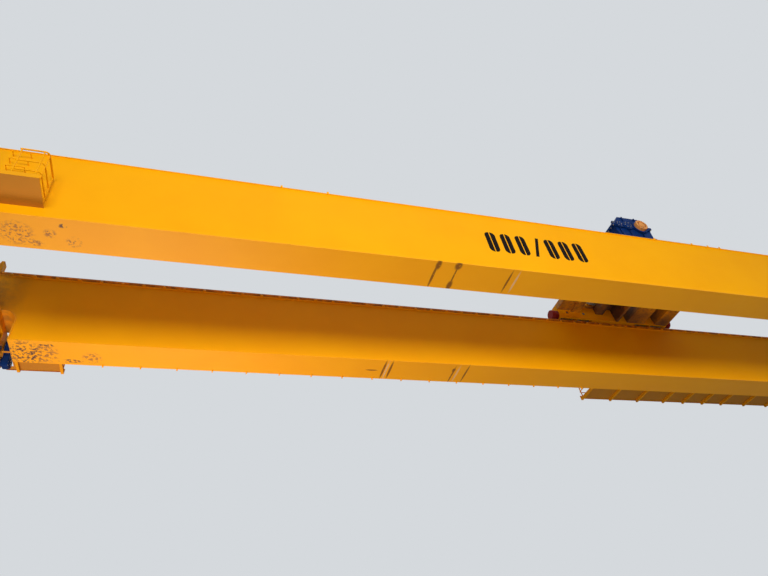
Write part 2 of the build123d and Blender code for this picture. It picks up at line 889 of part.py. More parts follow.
def make_trolley_frame():
    save("trolley_side_beams", *[side_beam(side) for _, side in SIDES])
    save("trolley_wheels", *[trolley_wheel(side, place) for _, side in SIDES for place in wheel_places])
    motor_beam_low_z = beam_top_z - motor_beam_depth
    beams = (
        cross_beam(-frame_half, end_beam_width - frame_half, beam_top_z - end_beam_depth)
        + cross_beam(end_beam_width - frame_half, main_well[0], motor_beam_low_z),
        cross_beam(*drum_beam, motor_beam_low_z),
        cross_beam(sheave_well[0] - well_beam_width, sheave_well[0], frame_low_z),
        cross_beam(*sheave_beam, frame_low_z),
        cross_beam(aux_well[1], frame_half, frame_low_z),
    )
    save("trolley_cross_beams", *beams)

    deck = block(-frame_half, frame_half, -deck_edge_y, deck_edge_y, beam_top_z, deck_z)
    well_y = side_inner_y - deck_gap
    wells = (
        (*main_well, main_well_front_y, well_y),
        (*sheave_well, -sheave_well_width / 2, sheave_well_width / 2),
        (*aux_well, aux_well_front_y, well_y),
    )
    for x0, x1, y0, y1 in wells:
        deck = deck - block(x0, x1, y0, y1, beam_top_z, deck_z)
    save("trolley_deck", on_trolley(deck))

    buffers = []
    for _, side in SIDES:
        for _, end in ENDS:
            x = end * frame_half
            plate_x = x + end * trolley_buffer_plate
            y = side * trolley_rail_y
            z = girder_top_z + trolley_buffer_height
            foot = round_x(trolley_buffer_diameter, x, plate_x, y, z)
            core = round_x(trolley_buffer_core, plate_x, x + end * trolley_buffer_length / 2, y, z)
            head = round_x(trolley_buffer_diameter, x + end * trolley_buffer_length / 2,
                           x + end * trolley_buffer_length, y, z)
            buffers.append(on_trolley(foot + core + head))
    save("trolley_buffers", *buffers)


# Main hoist

def upper_housing_face():
    """Side view above the split: level top with a long bevel on the high-speed side."""
    top = deck_z + reducer_height
    return polygon(
        (reducer_left_x, main_axis_z), (reducer_right_x, main_axis_z),
        (reducer_right_x, (main_axis_z + top) / 2), (reducer_right_x - reducer_right_bevel, top),
        (reducer_left_x + reducer_bevel, top),
    )


def lower_housing_face():
    """Side view below the split, drawn in a little towards the foot."""
    return polygon(
        (reducer_left_x, main_axis_z), (reducer_right_x, main_axis_z),
        (reducer_right_x - reducer_foot_inset, deck_z), (reducer_left_x + reducer_foot_inset, deck_z),
    )


def housing_half(outline, way):
    """One half of the housing with its bosses and ribs; way is 1 above the split and -1 below it."""
    front = -reducer_front_y
    walls = (front + split_flange_reach, reducer_back_y - split_flange_reach)
    flange_z = main_axis_z + way * split_flange_depth / 2
    half = extrude_xz(outline, *walls)
    half = half + block(
        reducer_left_x - split_flange_reach, reducer_right_x + split_flange_reach,
        front, reducer_back_y, main_axis_z, flange_z,
    )
    reach = (walls[0] - housing_rib_reach, walls[1] + housing_rib_reach)
    ribs = []
    bolts = []
    shafts = (
        (main_axis_x, main_boss_diameter), (middle_axis_x, middle_boss_diameter),
        (fast_axis_x, fast_boss_diameter),
    )
    for x, diameter in shafts:
        above = Pos(x, main_axis_z + way * diameter / 2) * Rectangle(diameter, diameter)
        boss = (Pos(x, main_axis_z) * Circle(diameter / 2)) & above
        half = half + extrude_xz(boss, front - boss_reach, reducer_back_y)
        tall = main_axis_z + way * main_axis_height / 2
        ribs.append(Pos(x, tall) * Rectangle(housing_rib, main_axis_height))
        for side in (-1, 1):
            bolt_x = x + side * (diameter + bolt_boss_width) / 2
            bolts.append(Pos(bolt_x, main_axis_z + way * bolt_boss_height / 2) * Rectangle(
                bolt_boss_width, bolt_boss_height
            ))
    half = half + extrude_xz((Sketch() + ribs) & outline, *reach)
    return half + extrude_xz((Sketch() + bolts) & outline, front, reducer_back_y)


def reducer_cap():
    """Bearing cap with a raised rim, a groove and a raised middle."""
    start = -reducer_front_y - boss_reach
    end = -reducer_front_y - cap_reach
    cap = round_y(cap_diameter, main_axis_x, start, end, main_axis_z)
    outer = cap_diameter - 2 * cap_rim
    groove = round_y(outer, main_axis_x, end, end + cap_groove_depth, main_axis_z)
    middle = round_y(outer - 2 * cap_groove, main_axis_x, end, end + cap_groove_depth, main_axis_z)
    return cap - (groove - middle)


def lifting_lug(x, z):
    """Upright plate with a hole, standing across the housing."""
    half = lifting_lug_height / 2
    middle_y = (reducer_back_y - reducer_front_y) / 2
    outline = Pos(middle_y, z + half) * Circle(half) + Pos(middle_y, z) * Rectangle(2 * half, 2 * half)
    hole = Pos(middle_y, z + half) * Circle(lifting_lug_hole / 2)
    return extrude_yz(outline - hole, x, x + lifting_lug_thickness)


def make_main_reducer():
    """Ribbed housing split at the shafts, with bearing bosses, a hatch, lifting lugs and a bearing cap."""
    base = housing_half(lower_housing_face(), -1)
    base = base + block(
        reducer_left_x, reducer_right_x, -reducer_front_y, reducer_back_y,
        deck_z, deck_z + split_flange_depth / 2,
    )
    top = deck_z + reducer_height
    flat_left = reducer_left_x + reducer_bevel
    flat_right = reducer_right_x - reducer_right_bevel
    hatch_x = (flat_left + flat_right) / 2
    hatch_y = (reducer_back_y - reducer_front_y) / 2
    cover = housing_half(upper_housing_face(), 1)
    cover = cover + block(
        hatch_x - hatch_length / 2, hatch_x + hatch_length / 2,
        hatch_y - hatch_width / 2, hatch_y + hatch_width / 2, top, top + hatch_thickness,
    )
    cover = cover + lifting_lug(flat_left, top) + lifting_lug(flat_right - lifting_lug_thickness, top)
    save("main_reducer_base", on_trolley(base))
    save("main_reducer_cover", on_trolley(cover))
    save("main_reducer_caps", on_trolley(reducer_cap()))


def grooved_drum(diameter, flange_diameter, length):
    """Rope drum on its own axis along Y, from 0 to its length, with rope grooves."""
    drum = round_y(diameter, 0, 0, length, 0)
    for y in (0, length - drum_flange_thickness):
        drum = drum + round_y(flange_diameter, 0, y, y + drum_flange_thickness, 0)
    count = int((length - 4 * drum_flange_thickness) / drum_groove_pitch)
    first = (length - drum_groove_pitch * (count - 1)) / 2
    for index in range(count):
        y = first + drum_groove_pitch * index
        ring = round_y(diameter, 0, y - drum_groove_depth, y + drum_groove_depth, 0)
        core = round_y(diameter - 2 * drum_groove_depth, 0, y - drum_groove_depth, y + drum_groove_depth, 0)
        drum = drum - (ring - core)
    return drum


def pedestal(x, y, z, shaft):
    """Bearing stand on the rear side beam, for a drum shaft."""
    half = pedestal_width / 2
    cap = shaft / 2 + pedestal_cap
    skirt = polygon((x - half, deck_z), (x + half, deck_z), (x + cap, z), (x - cap, z))
    stand = extrude_xz(skirt + Pos(x, z) * Circle(cap), y, y + pedestal_thickness)
    return stand - round_y(shaft, x, y, y + pedestal_thickness, z)


def hoist_motor(diameter, length, x, y, z, direction):
    """Motor with its feet, shaft and brake wheel; direction is the way from the reducer."""
    start = y + direction * hoist_coupling_length
    end = start + direction * length
    body = Pos(x, start, z) * Rot(0, 0, direction * 90) * motor(diameter, length)
    body = body + block(
        x - diameter / 2, x + diameter / 2, start + direction * hoist_foot_inset,
        end - direction * hoist_foot_inset, deck_z, z - diameter / 4,
    )
    wheel_start = y + direction * (hoist_coupling_length - brake_wheel_width) / 2
    body = body + round_y(hoist_shaft_diameter, x, y, start, z)
    return body + round_y(
        brake_wheel_diameter * diameter / hoist_motor_diameter, x,
        wheel_start, wheel_start + direction * brake_wheel_width, z,
    )


def brake(diameter, x, y, z, direction):
    """Two shoe arms on a base plate, either side of the brake wheel, with a top rod."""
    wheel = brake_wheel_diameter * diameter / hoist_motor_diameter
    middle = y + direction * hoist_coupling_length / 2
    y0 = middle - brake_arm_depth / 2
    y1 = middle + brake_arm_depth / 2
    reach = wheel / 2 + run_gap / 4
    outer = reach + brake_arm_width
    stand = block(x - outer, x + outer, y0, y1, deck_z, deck_z + brake_arm_width / 2)
    for sign in (-1, 1):
        stand = stand + block(
            x + sign * reach, x + sign * outer, y0, y1,
            deck_z, z + wheel / 2 + brake_arm_width,
        )
    rod_z = z + wheel / 2 + brake_arm_width / 2
    return stand + round_x(brake_arm_width / 2, x - reach, x + reach, middle, rod_z)


def make_hoists():
    """Main hoist behind its reducer in front, auxiliary hoist with its reducer at the rear."""
    main_drum = grooved_drum(drum_diameter, drum_flange_diameter, drum_length)
    main_drum = main_drum + round_y(
        shaft_diameter, 0, -hoist_coupling_length, drum_length + run_gap + pedestal_thickness, 0
    )
    save("main_drum", on_trolley(Pos(main_axis_x, main_drum_y, main_axis_z) * main_drum))

    aux_z = deck_z + aux_axis_height
    aux_front_y = reducer_front_y - aux_reducer_width
    aux_drum_y = aux_front_y - hoist_coupling_length - aux_drum_length
    aux_shaft = shaft_diameter * aux_drum_diameter / drum_diameter
    aux_drum = grooved_drum(
        aux_drum_diameter, aux_drum_diameter + drum_flange_diameter - drum_diameter, aux_drum_length
    )
    aux_drum = aux_drum + round_y(
        aux_shaft, 0, -run_gap - pedestal_thickness, aux_drum_length + hoist_coupling_length, 0
    )
    save("aux_drum", on_trolley(Pos(aux_axis_x, aux_drum_y, aux_z) * aux_drum))

    stands = (
        pedestal(main_axis_x, main_drum_y + drum_length + run_gap, main_axis_z, shaft_diameter),
        pedestal(aux_axis_x, aux_drum_y - run_gap - pedestal_thickness, aux_z, aux_shaft),
    )
    save("drum_pedestals", *[on_trolley(stand) for stand in stands])

    fast_x = aux_axis_x - aux_fast_offset
    left = fast_x - aux_housing_past_fast_shaft
    right = aux_axis_x + aux_housing_past_axis
    top = deck_z + aux_reducer_height
    housing = polygon(
        (left + reducer_foot_inset, deck_z), (right - reducer_foot_inset, deck_z),
        (right, aux_z), (right - aux_reducer_bevel, top),
        (left + aux_reducer_long_bevel, top), (left, aux_z),
    )
    reducer = extrude_xz(housing, aux_front_y, reducer_front_y - split_flange_reach)
    save("aux_reducer", on_trolley(reducer))

    motors = (
        hoist_motor(hoist_motor_diameter, hoist_motor_length, fast_axis_x, reducer_back_y, main_axis_z, 1),
        hoist_motor(aux_motor_diameter, aux_motor_length, fast_x, aux_front_y, aux_z, -1),
    )
    save("hoist_motors", *[on_trolley(each) for each in motors])
    brakes = (
        brake(hoist_motor_diameter, fast_axis_x, reducer_back_y, main_axis_z, 1),
        brake(aux_motor_diameter, fast_x, aux_front_y, aux_z, -1),
    )
    save("hoist_brakes", *[on_trolley(stand) for stand in brakes])


def make_upper_sheaves():
    """Fixed sheaves on one shaft over their rope well, held between two cheeks."""
    x = (sheave_well[0] + sheave_well[1]) / 2
    z = deck_z + sheave_axis_height
    half = (sheave_count - 1) * sheave_pitch / 2 + sheave_thickness / 2
    shaft = round_y(sheave_shaft_diameter, x, -half - run_gap - cheek_thickness,
                    half + run_gap + cheek_thickness, z)
    for index in range(sheave_count):
        y = (index - (sheave_count - 1) / 2) * sheave_pitch
        sheave = round_y(sheave_diameter, x, y - sheave_thickness / 2, y + sheave_thickness / 2, z)
        ring = round_y(sheave_diameter, x, y - sheave_rope_groove / 2, y + sheave_rope_groove / 2, z)
        core = round_y(sheave_diameter - 2 * sheave_rope_groove, x,
                       y - sheave_rope_groove / 2, y + sheave_rope_groove / 2, z)
        shaft = shaft + (sheave - (ring - core))
    save("upper_sheaves", on_trolley(shaft))

    cheeks = []
    top = sheave_shaft_diameter / 2 + pedestal_cap
    for sign in (-1, 1):
        inner = sign * (half + run_gap)
        arch = sheave_well_length / 2 + run_gap / 2
        face = polygon(
            (x - cheek_width / 2, deck_z), (x - arch, deck_z), (x - arch, deck_z + cheek_foot_height),
            (x + arch, deck_z + cheek_foot_height), (x + arch, deck_z), (x + cheek_width / 2, deck_z),
            (x + top, z), (x - top, z),
        )
        cheek = extrude_xz(face + Pos(x, z) * Circle(top), inner, inner + sign * cheek_thickness)
        cheek = cheek - round_y(sheave_shaft_diameter, x, inner, inner + sign * cheek_thickness, z)
        cheeks.append(on_trolley(cheek))
    save("upper_sheave_cheeks", *cheeks)


def make_trolley_drive():
    """Motor and upright reducer on the right end beam, beside the auxiliary drum."""
    x = aux_axis_x + (aux_drum_diameter + trolley_drive_length) / 2 + run_gap
    half = trolley_drive_width / 2
    z = deck_z + trolley_drive_axis_height
    body = block(x - trolley_drive_length / 2, x + trolley_drive_length / 2, -half, half,
                 deck_z, deck_z + trolley_drive_height)
    shaft = round_y(hoist_shaft_diameter, x, half, half + coupling_length, z)
    start = half + coupling_length
    drive_motor = Pos(x, start, z) * Rot(0, 0, 90) * motor(trolley_motor_diameter, trolley_motor_length)
    feet = block(x - foot_width / 2, x + foot_width / 2, start + foot_inset,
                 start + trolley_motor_length - foot_inset, deck_z, z - trolley_motor_diameter / 4)
    save("trolley_drive", on_trolley(body + shaft + drive_motor + feet))


os.makedirs("parts", exist_ok=True)

for side_name, side_sign in SIDES:
    make_girder(side_name, side_sign)
make_diaphragms()
make_trolley_rails()
make_end_stops()
make_lugs()
make_tabs()
make_climbing_irons()
for end_name, end_sign in ENDS:
    make_end_carriage(end_name, end_sign)
make_bogies()
make_crane_wheels()
make_bogie_pins()
make_crane_buffers()
make_travel_drives()
make_platforms()
make_trolley_frame()
make_main_reducer()
make_hoists()
make_upper_sheaves()
make_trolley_drive()
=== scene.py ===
import json
import math

import bmesh
import bpy
from mathutils import Euler, Matrix, Vector


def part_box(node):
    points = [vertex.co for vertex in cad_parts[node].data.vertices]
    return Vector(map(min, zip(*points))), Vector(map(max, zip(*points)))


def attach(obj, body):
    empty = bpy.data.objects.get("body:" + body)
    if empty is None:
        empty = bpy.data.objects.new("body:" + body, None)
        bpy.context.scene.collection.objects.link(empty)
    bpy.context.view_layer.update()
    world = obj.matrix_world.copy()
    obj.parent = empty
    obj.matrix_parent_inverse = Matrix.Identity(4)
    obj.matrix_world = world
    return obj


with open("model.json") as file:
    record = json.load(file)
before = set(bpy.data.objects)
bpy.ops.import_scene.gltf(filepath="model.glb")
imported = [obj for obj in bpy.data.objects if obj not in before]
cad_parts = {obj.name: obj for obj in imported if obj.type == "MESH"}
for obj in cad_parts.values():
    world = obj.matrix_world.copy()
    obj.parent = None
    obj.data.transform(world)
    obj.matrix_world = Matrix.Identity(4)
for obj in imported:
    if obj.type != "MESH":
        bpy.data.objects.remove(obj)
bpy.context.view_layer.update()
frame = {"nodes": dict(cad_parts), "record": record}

bl_info = {
    "name": "Overhead crane finish",
    "version": (1, 0, 0),
    "blender": (4, 5, 0),
    "location": "View3D > Sidebar > Crane",
    "description": "Dresses a double-girder overhead crane: paint, fasteners, weld seams and markings",
    "category": "Object",
}

# Places that the pieces are set out from, read from the frame in metres
WEB_LOW, WEB_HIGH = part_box("front_girder_outer_web")
FLANGE_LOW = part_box("front_girder_bottom_flange")[0]
TOP_LOW, TOP_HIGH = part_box("front_girder_top_flange")
RAIL_LOW, RAIL_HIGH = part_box("trolley_rails")
STOP_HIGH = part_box("trolley_end_stops")[1]
CAP_LOW, CAP_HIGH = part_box("main_reducer_caps")
BASE_LOW, BASE_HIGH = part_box("main_reducer_base")
COVER_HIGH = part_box("main_reducer_cover")[1]

# Sizes of the solids that no box gives, in metres
STOP_DEPTH = 0.2
FLANGE_PLATE = 0.026
DEEP_HALF = 14.974
NECK_RADIUS = 0.366
NECK_HIGH = 1.181
RAIL_BASE = 0.17
RAIL_FOOT = 0.024
RAIL_WEAR = 0.002
RUNWAY_RAIL = 15.75
AXLE_BOX_FACE = 0.3
CARRIAGE_FACE = 0.33
PIN_RISE = 0.09
DRIVE_LOWER_ROUND = 0.2
DRIVE_UPPER_ROUND = 0.16
DRIVE_FACE = 15.21
DRIVE_COVER = 0.014
DRIVE_LEDGE = 0.024
PLATFORM_FLOOR = 0.477
PLATFORM_DEPTH = 0.05
SPLIT_HALF = 0.045
SPLIT_REACH = 0.055
BOSS_REACH = 0.025
BOLT_BOSS_WIDTH = 0.08
BOLT_BOSS_HEIGHT = 0.13
HATCH_CENTRE = 5.315
HATCH_HALF = (0.28, 0.2)
HATCH_RISE = 0.016
HATCH_BELOW_TOP = 0.11

# Slot and finish of most of the pieces
YELLOW = ("yellow_paint", "enamel_on_plate")
BLUE = ("blue_machine_paint", "blue_casting")
ZINC = ("machined_steel", "zinc_plate")

# Two points this near are one, and a point this near a plane is on it, in metres
SAME_POINT = 0.0001
ON_PLANE = 0.0005

# Z of the normal where a face starts to count as looking up or down, and where it counts in full
LOOKS_UP = (0.6, 0.95)
LOOKS_DOWN = (-0.6, -0.95)

# A washer's thickness and width and a head's height, as shares of the width across a bolt's flats
WASHER_THICK = 0.1
WASHER_WIDTH = 1.9
HEAD_HIGH = 0.62
# That width divided by the head's radius, at its foot and at its top
HEAD_FOOT = 1.732
HEAD_TOP = 1.8

# The main reducer's shafts: distance from the slow shaft and diameter of the boss
SHAFTS = ((0.0, 0.64), (-0.56, 0.43), (-0.96, 0.32))

# Painted shade on the ends starts and is full at these distances past the girders' deep part
END_SHADE_STARTS = -0.1
END_SHADE_FULL = 0.6

# Marks under the girders and, as WELL_SHADE, painted shade in the wells under the trolley: X, Y and the
# reach along X and Y
SOOT = (
    (-14.66, 2.36, 0.52, 0.66), (-14.04, 1.95, 0.34, 0.06), (-13.50, 2.64, 0.40, 0.10),
    (-13.24, -2.60, 0.12, 0.08),
)
GREASE = (
    (-14.23, -2.24, 0.42, 0.42), (-13.88, -1.97, 0.24, 0.12), (-13.52, -2.32, 0.16, 0.16),
    (-13.02, -2.12, 0.20, 0.20), (-14.15, 2.35, 0.45, 0.55), (-12.90, 2.45, 0.30, 0.30),
)
SCUFFS = (
    (-3.73, -2.68, 0.10, 0.24), (-3.76, -2.25, 0.05, 0.60), (-3.13, -2.72, 0.13, 0.20),
    (-3.13, -2.30, 0.03, 0.60), (-3.13, -1.93, 0.10, 0.24), (-1.39, -2.30, 0.04, 0.55),
    (-3.95, 2.30, 0.05, 0.60), (-3.72, 2.30, 0.05, 0.60), (-1.42, 2.12, 0.07, 0.14),
    (-1.40, 2.40, 0.035, 0.60), (-0.92, 2.30, 0.04, 0.60), (-4.35, 2.35, 0.25, 0.04),
)
WELL_SHADE = ((8.72, 1.75, 0.55, 1.10), (6.60, 1.50, 1.70, 1.30), (5.15, 0.75, 0.75, 1.10))
STREAKS = ((-1.15, -2.30, 0.04, 0.55), (-3.85, 2.30, 0.04, 0.60), (-1.25, 2.35, 0.04, 0.60))


def linear(code):
    """sRGB hex to the linear colour that shaders take."""
    levels = [int(code[start:start + 2], 16) / 255 for start in (0, 2, 4)]
    bent = [level / 12.92 if level <= 0.04045 else ((level + 0.055) / 1.055) ** 2.4 for level in levels]
    return (*bent, 1.0)


def darker(colour, share):
    """The same linear colour at a share of its light."""
    return tuple(level * share for level in colour[:3]) + (1.0,)


def paint(name, description, code):
    """Colour property whose default is an sRGB hex value."""
    return bpy.props.FloatVectorProperty(
        name=name, description=description, subtype="COLOR", size=4, min=0, max=1, default=linear(code)
    )


def length(name, description, default):
    """Length property in metres."""
    return bpy.props.FloatProperty(
        name=name, description=description, default=default, min=0, unit="LENGTH", precision=4
    )


def angle(name, description, degrees):
    """Angle property given in degrees."""
    return bpy.props.FloatProperty(
        name=name, description=description, default=math.radians(degrees), unit="ROTATION"
    )


def power(name, description, default):
    """Power of a lamp in watts."""
    return bpy.props.FloatProperty(name=name, description=description, default=default, min=0, unit="POWER")


class CraneColours(bpy.types.PropertyGroup):
    """Colours of the crane's finishes."""
    yellow: paint("Yellow", "Enamel of girders, platforms and trolley frame", "FFB000")
    deep_yellow: paint("Deep yellow", "The same enamel where it lies thicker", "F7A200")
    blue: paint("Blue", "Enamel of reducers and motors", "0B2D66")
    orange: paint("Orange", "Enamel of bearing caps and brakes", "E39A52")
    red: paint("Red", "Cast polyurethane of the buffers", "8C1A10")
    primer: paint("Primer", "Shop primer that shows at ground welds", "E9C9A0")
    scuff: paint("Scuff", "Burnt and rubbed enamel at the site welds", "5A2A14")
    # This colour also paints shade on the girders' ends and in the trolley's wells
    soot_and_shade: paint("Soot", "Soot on the undersides", "3A3038")
    # This colour also paints shade under the trolley and under the platforms' floors
    grease: paint("Grease", "Thrown grease on undersides and trolley", "8A5A38")
    dust: paint("Dust", "Dust on level faces", "A89A82")
    black: paint("Black", "Stencil paint of the figures", "14100F")
    steel: paint("Steel", "Turned and machined steel", "A9A7A2")
    rust: paint("Rust", "Thin rust on rail flanks", "6A4632")
    zinc: paint("Zinc", "Plated bolts and nuts", "B9B6AC")
    floor: paint("Floor", "Stage floor", "E6E7E8")
    backdrop: paint("Backdrop", "Stage background", "D5D9DD")


class CraneSizes(bpy.types.PropertyGroup):
    """Sizes of the small pieces."""
    clip_pitch: length("Rail clip pitch", "Distance between clips along a trolley rail", 0.62)
    clip_width: length("Rail clip width", "Length of a clip along the rail", 0.09)
    bolt: length("Bolt", "Width across flats of a common bolt head", 0.036)
    small_bolt: length("Small bolt", "Width across flats of a cover's bolt head", 0.019)
    seam: length("Weld leg", "Leg of the fillet welds on the girders", 0.009)
    socket: length("Post socket", "Diameter of the sockets that hold the handrail posts", 0.046)
    pad: length("Iron pad", "Diameter of the weld pads of the climbing irons", 0.036)
    cleat_pitch: length("Cleat pitch", "Distance between the cable cleats", 0.99)
    figure_height: length("Figure height", "Height of the stencilled figures", 0.885)
    figure_width: length("Figure width", "Width of one stencilled figure", 0.35)
    figure_pitch: length("Figure pitch", "Distance from one figure to the next", 0.52)
    figure_slit: length("Stencil slit", "Bridge left by the stencil in each figure", 0.03)


class CraneView(bpy.types.PropertyGroup):
    """Camera and light."""
    place: bpy.props.FloatVectorProperty(
        name="Camera place", description="Where the camera stands", subtype="XYZ", unit="LENGTH",
        default=(-9.93, -12.76, -11.245),
    )
    heading: angle("Heading", "Turn from +Y towards +X", 23.64)
    tilt: angle("Tilt", "Height of the aim above the horizon", 42.885)
    roll: angle("Roll", "Turn about the line of sight", -11.205)
    lens: bpy.props.FloatProperty(
        name="Lens", description="Focal length in mm on a 36 mm frame", default=27.19
    )
    floor_drop: length("Floor drop", "Height of the camera above the floor", 1.6)
    ambient: bpy.props.FloatProperty(name="Ambient", description="Light from all round", default=0.05)
    key_power: power("Key power", "Large soft lamp in front", 4000)
    low_power: power("Low power", "Low soft lamp behind the left end", 1050)
    top_power: power("Top power", "Large soft lamp overhead", 2200)
    wide_power: power("Wide power", "Very large lamp over the whole floor", 9000)


def tint(name):
    """One of the finishes' colours that the scene holds."""
    return tuple(getattr(bpy.context.scene.crane_colours, name))


def sizes():
    """The small pieces' sizes that the scene holds."""
    return bpy.context.scene.crane_sizes


# Materials

def add(tree, kind, inputs=None, **settings):
    """Add a node, set its properties, then set or link its inputs."""
    item = tree.nodes.new(kind)
    for name, value in settings.items():
        setattr(item, name, value)
    for key, value in (inputs or {}).items():
        if isinstance(value, bpy.types.NodeSocket):
            tree.links.new(value, item.inputs[key])
        else:
            item.inputs[key].default_value = value
    return item


def patches(tree, place, size_mm, low, high, detail=4.0):
    """Mask from 0 to 1 in patches of about the given size."""
    noise = add(tree, "ShaderNodeTexNoise", {
        "Vector": place, "Scale": 1000.0 / size_mm, "Detail": detail, "Roughness": 0.6,
    })
    return add(tree, "ShaderNodeMapRange", {
        "Value": noise.outputs["Fac"], "From Min": low, "From Max": high,
    }).outputs["Result"]


def stained(tree, colour, stain, mask, share=1.0):
    """Colour with a stain over it where the mask is 1, at the given share."""
    amount = add(tree, "ShaderNodeMath", {0: mask, 1: share}, operation="MULTIPLY").outputs[0]
    # A colour mix takes its colours at sockets 6 and 7 and gives the result at 2
    return add(tree, "ShaderNodeMix", {0: amount, 6: colour, 7: stain}, data_type="RGBA").outputs[2]


def spots(tree, place, level, marks, breakup):
    """Mask of marks at a level, each fading to its reach and broken up by a finer mask."""
    total = 0.0
    for x, y, reach_x, reach_y in marks:
        local = add(tree, "ShaderNodeMapping", {
            "Vector": place, "Location": (x, y, level), "Scale": (reach_x, reach_y, 1.0),
        }, vector_type="TEXTURE").outputs[0]
        ball = add(
            tree, "ShaderNodeTexGradient", {"Vector": local}, gradient_type="SPHERICAL"
        ).outputs["Fac"]
        total = add(tree, "ShaderNodeMath", {0: total, 1: ball}, operation="MAXIMUM").outputs[0]
    solid = add(tree, "ShaderNodeMapRange", {"Value": total, "From Max": 0.45}).outputs["Result"]
    return add(tree, "ShaderNodeMath", {0: solid, 1: breakup}, operation="MULTIPLY").outputs[0]


def facing(tree, low, high):
    """Mask by which way a face looks: 0 where its normal's Z is at low, 1 where it is at high."""
    normal = add(tree, "ShaderNodeNewGeometry").outputs["Normal"]
    height = add(tree, "ShaderNodeSeparateXYZ", {"Vector": normal}).outputs["Z"]
    return add(tree, "ShaderNodeMapRange", {
        "Value": height, "From Min": low, "From Max": high,
    }).outputs["Result"]


def dusty(tree, place, colour, share):
    """Colour with dust lying in patches on faces that look up."""
    film = patches(tree, place, 900, 0.3, 0.62)
    above = facing(tree, *LOOKS_UP)
    mask = add(tree, "ShaderNodeMath", {0: above, 1: film}, operation="MULTIPLY").outputs[0]
    return stained(tree, colour, tint("dust"), mask, share)


def finish(tree, colour, rough, bump=None, depth_mm=1.0, specular=None, metallic=0.0):
    """Close the material with its shader, and with bump where a height is given."""
    inputs = {"Base Color": colour, "Roughness": rough, "Metallic": metallic}
    if specular is not None:
        inputs["Specular IOR Level"] = specular
    if bump is not None:
        normal = add(tree, "ShaderNodeBump", {
            "Height": bump, "Strength": 1.0, "Distance": depth_mm / 1000.0,
        })
        inputs["Normal"] = normal.outputs["Normal"]
    shader = add(tree, "ShaderNodeBsdfPrincipled", inputs)
    add(tree, "ShaderNodeOutputMaterial", {"Surface": shader.outputs["BSDF"]})


def enamel(tree, place):
    """Colour of the yellow enamel: faint clouds where it lies thicker, and dust above."""
    clouds = patches(tree, place, 2200, 0.35, 0.7)
    colour = stained(tree, tint("yellow"), tint("deep_yellow"), clouds, 0.5)
    return dusty(tree, place, colour, 0.55)


def painted_shade_ends(tree, place, colour, share):
    """Colour under painted shade: a dark film that darkens the crane past the girders' deep part."""
    away = add(tree, "ShaderNodeVectorMath", {0: place}, operation="ABSOLUTE").outputs[0]
    beyond = add(tree, "ShaderNodeSeparateXYZ", {"Vector": away}).outputs["X"]
    ends = add(tree, "ShaderNodeMapRange", {
        "Value": beyond, "From Min": DEEP_HALF + END_SHADE_STARTS, "From Max": DEEP_HALF + END_SHADE_FULL,
    }).outputs["Result"]
    cloud = patches(tree, place, 450, 0.22, 0.6)
    mask = add(tree, "ShaderNodeMath", {0: ends, 1: cloud}, operation="MULTIPLY").outputs[0]
    return stained(tree, colour, tint("soot_and_shade"), mask, share)


def enamel_on_plate(tree, place):
    """Enamel sprayed on welded plate: even, soft sheen over weld waves, painted shade on the ends."""
    waves = patches(tree, place, 1200, 0.2, 0.8, 1.0)
    # Real orange peel is near 3 mm; drawn at 25 mm, the finest that shows from where the crane is seen
    peel = patches(tree, place, 25, 0.2, 0.8, 2.0)
    # The peel is as deep as 0.06 of the waves
    height = add(tree, "ShaderNodeMath", {0: peel, 1: 0.06, 2: waves}, operation="MULTIPLY_ADD").outputs[0]
    # The ends get painted shade in the dark colour
    colour = painted_shade_ends(tree, place, enamel(tree, place), 0.55)
    finish(tree, colour, 0.55, height, 5.0, specular=0.08)


def enamel_underside(tree, place):
    """Enamel under the girders: sooty spots; scuffs and pale streaks at the site welds; painted shade on
    the ends.
    """
    colour = enamel(tree, place)
    fine = patches(tree, place, 75, 0.47, 0.58, 3.0)
    rubbed = patches(tree, place, 90, 0.30, 0.52, 6.0)
    burnt = patches(tree, place, 90, 0.2, 0.42, 6.0)
    for stain, marks, breakup, share in (
        (tint("primer"), STREAKS, rubbed, 0.7),
        (tint("scuff"), SCUFFS, burnt, 0.8),
        (tint("grease"), GREASE, fine, 0.75),
        (tint("soot_and_shade"), SOOT, fine, 0.9),
    ):
        mask = spots(tree, place, FLANGE_LOW.z, marks, breakup)
        colour = stained(tree, colour, stain, mask, share)
    # The ends get painted shade in the dark colour
    colour = painted_shade_ends(tree, place, colour, 0.85)
    waves = patches(tree, place, 1200, 0.2, 0.8, 1.0)
    finish(tree, colour, 0.5, waves, 5.0, specular=0.25)


def chequer_plate(tree, place):
    """Rolled chequer plate under enamel: raised studs above, a faint brown film, and painted shade below.
    """
    # Real studs stand 30 mm apart; drawn at 60 mm so that they still show
    cells = add(tree, "ShaderNodeTexVoronoi", {"Vector": place, "Scale": 1000.0 / 60, "Randomness": 0.0})
    studs = add(tree, "ShaderNodeMapRange", {
        "Value": cells.outputs["Distance"], "From Min": 0.38, "From Max": 0.3,
    }).outputs["Result"]
    above = facing(tree, *LOOKS_UP)
    height = add(tree, "ShaderNodeMath", {0: studs, 1: above}, operation="MULTIPLY").outputs[0]
    film = patches(tree, place, 900, 0.1, 0.5, 3.0)
    colour = stained(tree, enamel(tree, place), tint("grease"), film, 0.15)
    # The floor's faces that look down get painted shade; the brackets hang lower than the floor and are
    # left out
    level = add(tree, "ShaderNodeSeparateXYZ", {"Vector": place}).outputs["Z"]
    floor = add(tree, "ShaderNodeMath", {
        0: level, 1: PLATFORM_FLOOR - PLATFORM_DEPTH,
    }, operation="GREATER_THAN").outputs[0]
    below = add(tree, "ShaderNodeMath", {
        0: facing(tree, *LOOKS_DOWN), 1: floor,
    }, operation="MULTIPLY").outputs[0]
    colour = stained(tree, colour, tint("grease"), below, 0.5)
    finish(tree, colour, 0.55, height, 2.0, specular=0.08)


